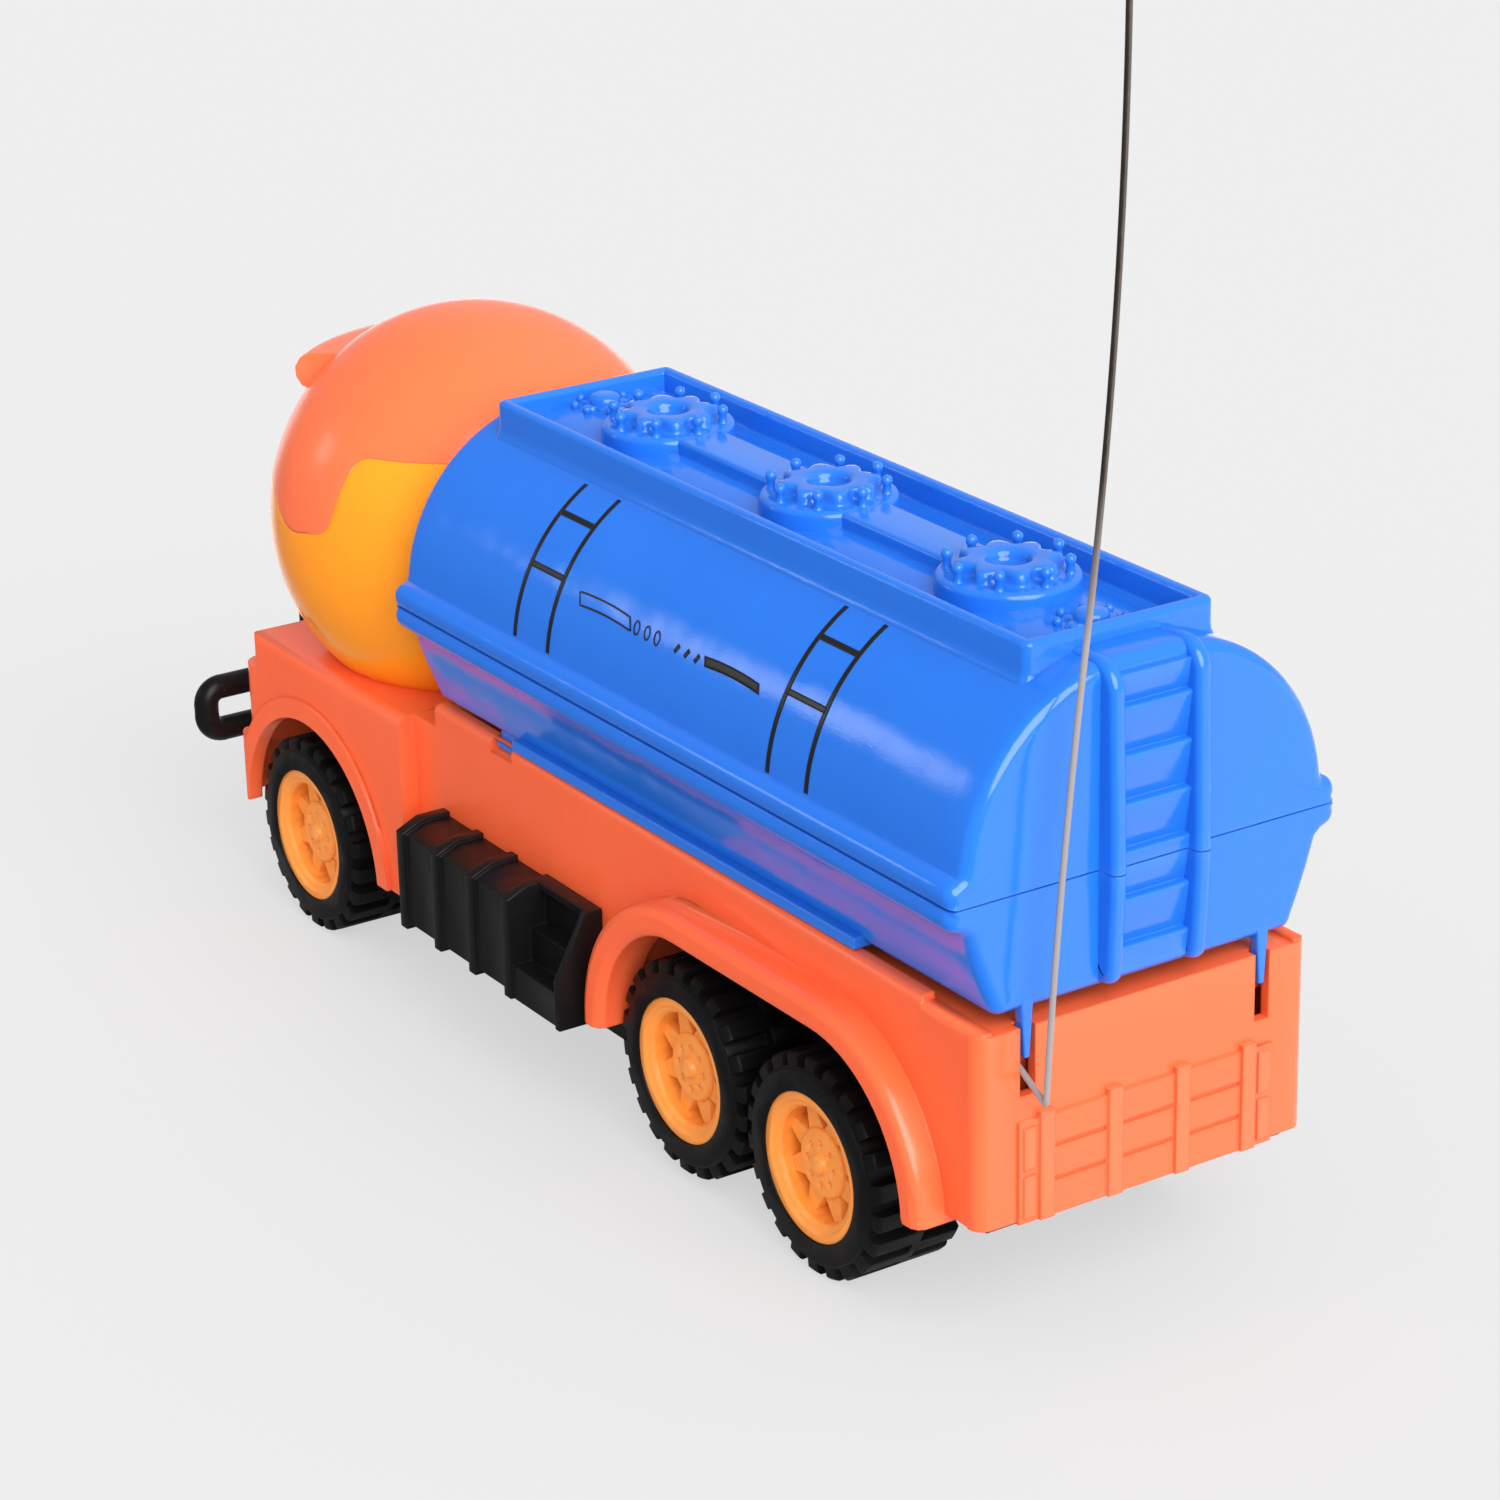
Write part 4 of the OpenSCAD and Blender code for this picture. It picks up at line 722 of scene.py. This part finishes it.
def wire(name, path):
    """A round wire along a path of points: rings of WIRE_R in the plane square to the tangent,
    turned from one tangent to the next without twist."""
    path = np.asarray(path, float)
    tangent = np.gradient(path, axis=0)
    tangent /= np.linalg.norm(tangent, axis=1)[:, None]
    u = np.cross(tangent[0], (0, 1, 0))
    t = np.linspace(0, 2 * math.pi, 14, endpoint=False)
    rings = []
    for p, d in zip(path, tangent):
        u = u - d * (u @ d)
        u /= np.linalg.norm(u)
        v = np.cross(d, u)
        rings.append(p + WIRE_R * (np.cos(t)[:, None] * u + np.sin(t)[:, None] * v))
    return skin(name, rings, 60)


def painted_floor_reflection(m, colour, low, high):
    """Paints a reflection of the bright floor on a metal's lower part: its colour and its share of metal run
    from colour and 0 at height low to the material's own colour and 1 at height high, in metres. The pale,
    non-metal colour below is a painted reflection."""
    n, link = m.node_tree.nodes, m.node_tree.links.new
    shader = n["Principled BSDF"]
    own = shader.inputs["Base Color"].links[0].from_socket
    at, parts, mix = n.new("ShaderNodeTexCoord"), n.new("ShaderNodeSeparateXYZ"), n.new("ShaderNodeMix")
    height = ramp(n, low, high, 0.0, 1.0)
    mix.data_type = "RGBA"
    mix.inputs["A"].default_value = colour
    link(at.outputs["Object"], parts.inputs["Vector"])
    link(parts.outputs["Z"], height.inputs["Value"])
    link(height.outputs["Result"], mix.inputs["Factor"])
    link(own, mix.inputs["B"])
    link(mix.outputs["Result"], shader.inputs["Base Color"])
    link(height.outputs["Result"], shader.inputs["Metallic"])
    return m


lower_centre = BEND - spoke(LOWER_R, BEND_TURN)
upper_centre = lower_centre + spoke(LOWER_R + UPPER_R, MEET_TURN)
stub = [(WIRE_X + d * math.cos(STUB_LEAN), BEND[0], BEND[1] + d * math.sin(STUB_LEAN))
        for d in np.linspace(16.2, 1.0, 10)]
bend = [(-5.55, 24.8, 49.72), (-5.85, 24.8, 49.62), (-6.0, 24.79, 49.85)]
lower_arc = arc(*lower_centre, LOWER_R, BEND_TURN + 0.06, MEET_TURN, 26)
upper_arc = arc(*upper_centre, UPPER_R, 180 + MEET_TURN, 178.5, 40)[1:]
whip = [(WIRE_X, y, z) for y, z in np.concatenate([lower_arc, upper_arc])]
# The pale colour below 0.125 m is a painted reflection of the bright floor.
spring_wire = painted_floor_reflection(metal("spring_wire", srgb(112, 102, 94), 0.3), srgb(144, 138, 138), 0.125, 0.152)
aerial = show("aerial_wire", wire("aerial_wire", stub + bend + whip), LORRY, "steel", spring_wire, "antenna")

# ------------------------------------------------------------------ printed marks
# Black pad-printing on the tank's side: two ladders, and a row of plain marks between them. The
# lettering of the real toy is left off. Three named points place them, and all sizes are in mm:
# u runs forward along the tank and v up round its shoulder.
# The second colour of the ink is its painted edge highlight.
INK = plastic("printed_ink", (0.006, 0.006, 0.007, 1), (0.02, 0.02, 0.02, 1), 0.3, lift=0.00004, corner=0.02)
INK_LIFT = 0.04
INK_THICK = 0.03
RAIL_HALF = 5.65             # half of the distance between a ladder's rails
LADDER_HALF = 16.1           # half of its height round the shoulder
STROKE = 1.15                # width of rails and rungs
RUNG_V = (9.4, -1.1)
OUTLINE = 0.36               # line width of the outlined marks
BAR_U, BAR_HALF = 20.0, 8.3  # the two long bars stand this far from the row's middle
BAR_BOW = 0.4                # and bow up by this at their middles
LOZENGE_U, SLASH_U = (9.5, 6.2, 3.0), (-3.3, -6.4, -9.5)


def carrier_tree(piece):
    """A search tree of a finished piece, for placing trim on it."""
    done = piece.evaluated_get(bpy.context.evaluated_depsgraph_get()).to_mesh()
    done.calc_loop_triangles()
    triangles = [tuple(t.vertices) for t in done.loop_triangles]
    return BVHTree.FromPolygons([v.co.copy() for v in done.vertices], triangles)


def on_surface(x, y, tree):
    """The place on a carrier that shows at (x, y) of the photograph: a ray from the camera
    through (x - W/2 + shift_x L, H/2 - y + shift_y L, -L lens / sensor) meets the tree, and a
    miss takes the place nearest the ray."""
    L = max(PHOTO_W, PHOTO_H)
    local = Vector((x - PHOTO_W / 2 + SHIFT_X * L, PHOTO_H / 2 - y + SHIFT_Y * L, -L * LENS_MM / SENSOR_MM))
    ray = (camera.matrix_world.to_3x3() @ local).normalized()
    hit, normal, _, _ = tree.ray_cast(CAMERA_AT, ray)
    if hit is None:
        hit, normal, _, _ = min((tree.find_nearest(CAMERA_AT + ray * t) for t in np.linspace(0.5, 0.95, 90)),
                                key=lambda s: s[3])
    return hit, normal


tank_tree = carrier_tree(tank_top)


def loop_band(outline, width):
    """Both edges of a closed line of the given width: p +- width / 2 times the line's normal."""
    p = np.concatenate([outline, outline[:1]])
    d = np.gradient(p, axis=0)
    d[0] = d[-1] = p[1] - p[-2]
    n = np.stack([-d[:, 1], d[:, 0]], 1) / np.linalg.norm(d, axis=1)[:, None]
    return p - n * width / 2, p + n * width / 2


def straight(u0, v0, u1, v1, width, n=24):
    """Both edges of a straight stroke from (u0, v0) to (u1, v1)."""
    a, b = np.array((u0, v0)), np.array((u1, v1))
    normal = np.array((a[1] - b[1], b[0] - a[0])) / np.linalg.norm(b - a) * width / 2
    line = a + np.linspace(0, 1, n)[:, None] * (b - a)
    return line - normal, line + normal


def ink(name, point, bands, mirror):
    """Ink on the tank about the place of a named point. A band is two edges of (u, v); five rows
    across it go on the shoulder at x = x0 + u and angle a0 + v / R, and solidify thickens them."""
    hit, _ = on_surface(*IMAGE_POINTS[point], tank_tree)
    x0 = (hit.x - TAIL_X) / MM
    a0 = math.atan2(hit.z / MM - ARC_Z, hit.y / MM - ARC_Y)
    hand = -1 if mirror else 1
    verts, faces = [], []
    for low_edge, high_edge in bands:
        base, m = sum(map(len, verts)), len(low_edge)
        uv = np.concatenate([low_edge + (high_edge - low_edge) * f for f in np.linspace(0, 1, 5)])
        a = a0 + uv[:, 1] / TANK_R
        r = TANK_R + INK_LIFT
        verts.append(np.stack([x0 + uv[:, 0], hand * (ARC_Y + r * np.cos(a)), ARC_Z + r * np.sin(a)], 1))
        k, i = np.meshgrid(np.arange(m - 1), np.arange(4))
        q = base + i * m + k
        faces.append(np.stack([q, q + 1, q + m + 1, q + m], -1).reshape(-1, 4))
    v, f = place(np.concatenate(verts)), np.concatenate(faces)
    normal = np.cross(v[f[:, 1]] - v[f[:, 0]], v[f[:, 2]] - v[f[:, 0]])
    inward = (normal * (v[f].mean(1) - place((0, 0, ARC_Z))) * (0, 1, 1)).sum(1) < 0
    f[inward] = f[inward][:, ::-1]
    mesh = bpy.data.meshes.new(name)
    mesh.from_pydata(v, [], f.tolist())
    mesh.shade_smooth()
    piece = show(name, mesh, LORRY, "black_plastic", INK)
    thick = piece.modifiers.new("ink", "SOLIDIFY")
    thick.thickness = INK_THICK * MM
    thick.offset = 1.0
    return piece


rails = [straight(sign * RAIL_HALF, -LADDER_HALF, sign * RAIL_HALF, LADDER_HALF, STROKE, 40)
         for sign in (-1, 1)]
rungs = [straight(-RAIL_HALF, v, RAIL_HALF, v, STROKE) for v in RUNG_V]
ladder_bands = rails + rungs


def bar(u, low, high, lean):
    """Both long edges of a bar about u: v = low or high + BAR_BOW (1 - s^2), s from -1 to 1, and
    the upper edge stands forward of the lower by twice lean."""
    s = np.linspace(-1, 1, 26)
    bow = BAR_BOW * (1 - s ** 2)
    lower = np.stack([u + BAR_HALF * s - lean, low + bow], 1)
    upper = np.stack([u + BAR_HALF * s + lean, high + bow], 1)
    return lower, upper


def lozenge(u):
    """A sheared ellipse about u: (0.8 cos t + 0.25 sin t, 1.15 sin t)."""
    t = np.linspace(0, 2 * math.pi, 24, endpoint=False)
    return np.stack([u + 0.8 * np.cos(t) + 0.25 * np.sin(t), 1.15 * np.sin(t)], 1)


front_bar = bar(BAR_U, -1.05, 1.1, 0.75)
rear_bar = bar(-BAR_U, -0.65, 1.1, 0.5)
row_bands = [loop_band(np.concatenate([front_bar[0], front_bar[1][::-1]]), OUTLINE), rear_bar]
row_bands += [loop_band(lozenge(u), OUTLINE) for u in LOZENGE_U]
row_bands += [straight(u + 0.4, -0.7, u - 0.4, 0.7, 0.9, 6) for u in SLASH_U]
PRINTS = {}
for point, bands in (("front_ladder", ladder_bands), ("rear_ladder", ladder_bands), ("mark_row", row_bands)):
    for hand in ("left", "right"):
        PRINTS[point, hand] = ink(f"print_{point}_{hand}", point, bands, hand == "right")

# ------------------------------------------------------------------ studio
# A pale floor that carries on as the backdrop under a soft sky, one broad key and a small soft
# box. In reflections the surround is pale to the lorry's right and dark to its left, so that the
# glossy plastic shows its form.
BACKDROP = 0.863             # linear value of the photograph's even background
PAPER = 0.585                # the floor's own grey, as it lights the lorry
FLOOR_TURN, FLOOR_SEEN = (-0.02, 0.07), (0.88, 0.12)     # y in metres, and grey in reflections
GLOW_SHARE = 0.68            # to the camera, this much of the floor is plain backdrop
SKY = 0.80                   # strength of the sky as it lights the lorry
SKY_TURN, SKY_SEEN = (-0.5, 0.1), (0.58, 0.24)           # y of a direction, and its strength


def floor_paper():
    """Matt paper, FLOOR_SEEN in reflections and partly plain backdrop to the camera: a Principled
    shader mixed with an emission by Is Camera Ray. From below it is clear, by Backfacing."""
    paper = bpy.data.materials.new("floor_paper")
    paper.use_nodes = True
    n, link = paper.node_tree.nodes, paper.node_tree.links.new
    matt, glow, below = n["Principled BSDF"], n.new("ShaderNodeEmission"), n.new("ShaderNodeBsdfTransparent")
    blend, away = n.new("ShaderNodeMixShader"), n.new("ShaderNodeMixShader")
    rays = n.new("ShaderNodeLightPath")
    spot, split = n.new("ShaderNodeNewGeometry"), n.new("ShaderNodeSeparateXYZ")
    reflected = ramp(n, *FLOOR_TURN, *FLOOR_SEEN)
    link(spot.outputs["Position"], split.inputs["Vector"])
    link(split.outputs["Y"], reflected.inputs["Value"])
    tint = n.new("ShaderNodeMix")
    tint.data_type = "RGBA"
    tint.inputs["A"].default_value = (PAPER, PAPER, PAPER, 1)
    link(reflected.outputs["Result"], tint.inputs["B"])
    link(rays.outputs["Is Glossy Ray"], tint.inputs["Factor"])
    link(tint.outputs["Result"], matt.inputs["Base Color"])
    matt.inputs["Roughness"].default_value = 0.95
    matt.inputs["Specular IOR Level"].default_value = 0.1
    glow.inputs["Color"].default_value = (BACKDROP, BACKDROP, BACKDROP, 1)
    lit = n.new("ShaderNodeMath")
    lit.operation = "MULTIPLY"
    lit.inputs[1].default_value = GLOW_SHARE
    link(rays.outputs["Is Camera Ray"], lit.inputs[0])
    link(lit.outputs["Value"], blend.inputs["Fac"])
    link(matt.outputs["BSDF"], blend.inputs[1])
    link(glow.outputs["Emission"], blend.inputs[2])
    link(spot.outputs["Backfacing"], away.inputs["Fac"])
    link(blend.outputs["Shader"], away.inputs[1])
    link(below.outputs["BSDF"], away.inputs[2])
    link(away.outputs["Shader"], n["Material Output"].inputs["Surface"])
    return paper


def studio_world():
    """The sky lights the lorry with SKY, shows in its gloss as SKY_SEEN and to the camera as
    BACKDROP: two mixes by Light Path."""
    world = bpy.data.worlds.new("studio")
    world.use_nodes = True
    n, link = world.node_tree.nodes, world.node_tree.links.new
    sky, gloss, wall = n["Background"], n.new("ShaderNodeBackground"), n.new("ShaderNodeBackground")
    pick, front = n.new("ShaderNodeMixShader"), n.new("ShaderNodeMixShader")
    rays = n.new("ShaderNodeLightPath")
    toward, parts = n.new("ShaderNodeTexCoord"), n.new("ShaderNodeSeparateXYZ")
    for background in (sky, gloss, wall):
        background.inputs["Color"].default_value = (1, 1, 1, 1)
    sky.inputs["Strength"].default_value = SKY
    wall.inputs["Strength"].default_value = BACKDROP
    reflected = ramp(n, *SKY_TURN, *SKY_SEEN)
    link(toward.outputs["Generated"], parts.inputs["Vector"])
    link(parts.outputs["Y"], reflected.inputs["Value"])
    link(reflected.outputs["Result"], gloss.inputs["Strength"])
    link(rays.outputs["Is Glossy Ray"], pick.inputs["Fac"])
    link(sky.outputs["Background"], pick.inputs[1])
    link(gloss.outputs["Background"], pick.inputs[2])
    link(rays.outputs["Is Camera Ray"], front.inputs["Fac"])
    link(pick.outputs["Shader"], front.inputs[1])
    link(wall.outputs["Background"], front.inputs[2])
    link(front.outputs["Shader"], n["World Output"].inputs["Surface"])
    return world


floor_mesh = bpy.data.meshes.new("floor")
floor_mesh.from_pydata([(-6, -6, 0), (6, -6, 0), (6, 6, 0), (-6, 6, 0)], [], [(0, 1, 2, 3)])
floor = bpy.data.objects.new("floor", floor_mesh)
scene.collection.objects.link(floor)
floor_mesh.materials.append(floor_paper())
floor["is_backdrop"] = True
scene.world = studio_world()
KEY_ALONG = Vector((0.83, -0.13, -0.54))     # the way the key shines
key = bpy.data.objects.new("key", bpy.data.lights.new("key", "SUN"))
scene.collection.objects.link(key)
key.rotation_euler = KEY_ALONG.to_track_quat("-Z", "Y").to_euler()
key.data.energy = 3.9
key.data.angle = math.radians(55)
SHOULDER = Vector((-0.09, 0.03, 0.10))       # the place on the tank whose gloss shows the soft box
BOX_TOWARD = Vector((0.77, 0.58, 0.27))      # from there to the box
BOX_AWAY = 1.5
box = bpy.data.objects.new("softbox", bpy.data.lights.new("softbox", "AREA"))
scene.collection.objects.link(box)
box.location = SHOULDER + BOX_TOWARD * BOX_AWAY
box.rotation_euler = (SHOULDER - box.location).to_track_quat("-Z", "Y").to_euler()
box.data.shape = "RECTANGLE"
box.data.size, box.data.size_y = 0.22, 0.26
box.data.energy = 0.035
box.data.spread = math.radians(50)
scene.view_settings.view_transform = "Standard"

# ------------------------------------------------------------------ records of the fit
# How far each named thing shows from its point, measured on the finished pieces. Five points are
# no evidence of the fit: the two ladders' and mark_row place the prints measured here, and
# middle_hub and tail_low_right were moved 7 and 10 pixels, to where the CAD's own features show.
HUB_CAP_R = 2.5              # a rim's hub cap face lies within this of its axle
TAIL_DEPTH = 5.0             # the tailgate's corner is sought this near the tailgate
RIM_DEPTH = 3.0              # and the tray's corners this near its rim
graph = bpy.context.evaluated_depsgraph_get()


def photo_xy(points):
    """Where points in metres show in the photograph: offsets along the camera's right and up
    axes over the depth, times the focal length in pixels, from the middle of the picture."""
    d = np.asarray(points, float).reshape(-1, 3) - np.array(CAMERA_AT)
    scale = LENS_MM / SENSOR_MM * max(PHOTO_W, PHOTO_H) / (d @ np.array(ahead))
    return np.stack([PHOTO_W / 2 + (d @ np.array(right)) * scale,
                     PHOTO_H / 2 - (d @ np.array(above)) * scale], 1)


def finished(obj):
    """The finished vertices of a piece, in mm from the tailgate."""
    v = vertices(obj.evaluated_get(graph).data)
    v[:, 0] -= TAIL_X
    return v / MM


shown = {}
whole = photo_xy(place(np.concatenate([finished(o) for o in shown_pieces()])))
shown["left_edge"], shown["right_edge"] = (whole[:, 0].min(), None), (whole[:, 0].max(), None)
shown["bottom_edge"] = (None, whole[:, 1].max())
shown["cab_top"] = (None, photo_xy(place(finished(cab_roof)))[:, 1].min())
tray_points = finished(tray_piece)
rim_z = tray_points[:, 2].max()
rim = tray_points[tray_points[:, 2] > rim_z - RIM_DEPTH]
for end, x in (("front", rim[:, 0].max()), ("rear", rim[:, 0].min())):
    for hand, y in (("left", rim[:, 1].max()), ("right", rim[:, 1].min())):
        shown[f"tray_{end}_{hand}"] = photo_xy(place((x, y, rim_z)))[0]
for name, hatch in zip(("rear", "middle", "front"), hatches):
    v = finished(hatch)
    middle = (v.min(0) + v.max(0)) / 2
    shown[name + "_hatch"] = photo_xy(place((middle[0], middle[1], v[:, 2].max())))[0]
upper = finished(tank_top)
shown["seam_corner"] = photo_xy(place((upper[:, 0].min(), upper[:, 1].max(), upper[:, 2].min())))[0]
tub = finished(body_piece)
corner = photo_xy(place(tub[(tub[:, 0] < TAIL_DEPTH) & (tub[:, 1] < 0)]))
shown["tail_low_right"] = corner[np.argmax(corner.sum(1))]
for axle in ("rear", "middle", "front"):
    v = finished(rims[axle, "left"])
    middle = (v.min(0) + v.max(0)) / 2
    cap = v[np.hypot(v[:, 0] - middle[0], v[:, 2] - middle[2]) < HUB_CAP_R]
    shown[axle + "_hub"] = photo_xy(place((middle[0], cap[:, 1].max(), middle[2])))[0]
whole_wire = photo_xy(place(finished(aerial)))
shown["aerial_bend"] = whole_wire[np.argmax(whole_wire[:, 1])]
for point in ("front_ladder", "rear_ladder", "mark_row"):
    v = finished(PRINTS[point, "left"])
    angle = np.arctan2(v[:, 2] - ARC_Z, v[:, 1] - ARC_Y)
    a = (angle.min() + angle.max()) / 2
    at = ((v[:, 0].min() + v[:, 0].max()) / 2, ARC_Y + TANK_R * math.cos(a), ARC_Z + TANK_R * math.sin(a))
    shown[point] = photo_xy(place(at))[0]
errors = {}
for name, point in IMAGE_POINTS.items():
    errors[name] = {}
    for axis, want, got in zip("xy", point, shown[name]):
        if want is not None:
            off = round(float(got - want), 1)
            errors[name][axis] = {"point": float(want), "shows": round(float(got), 1), "off": off}
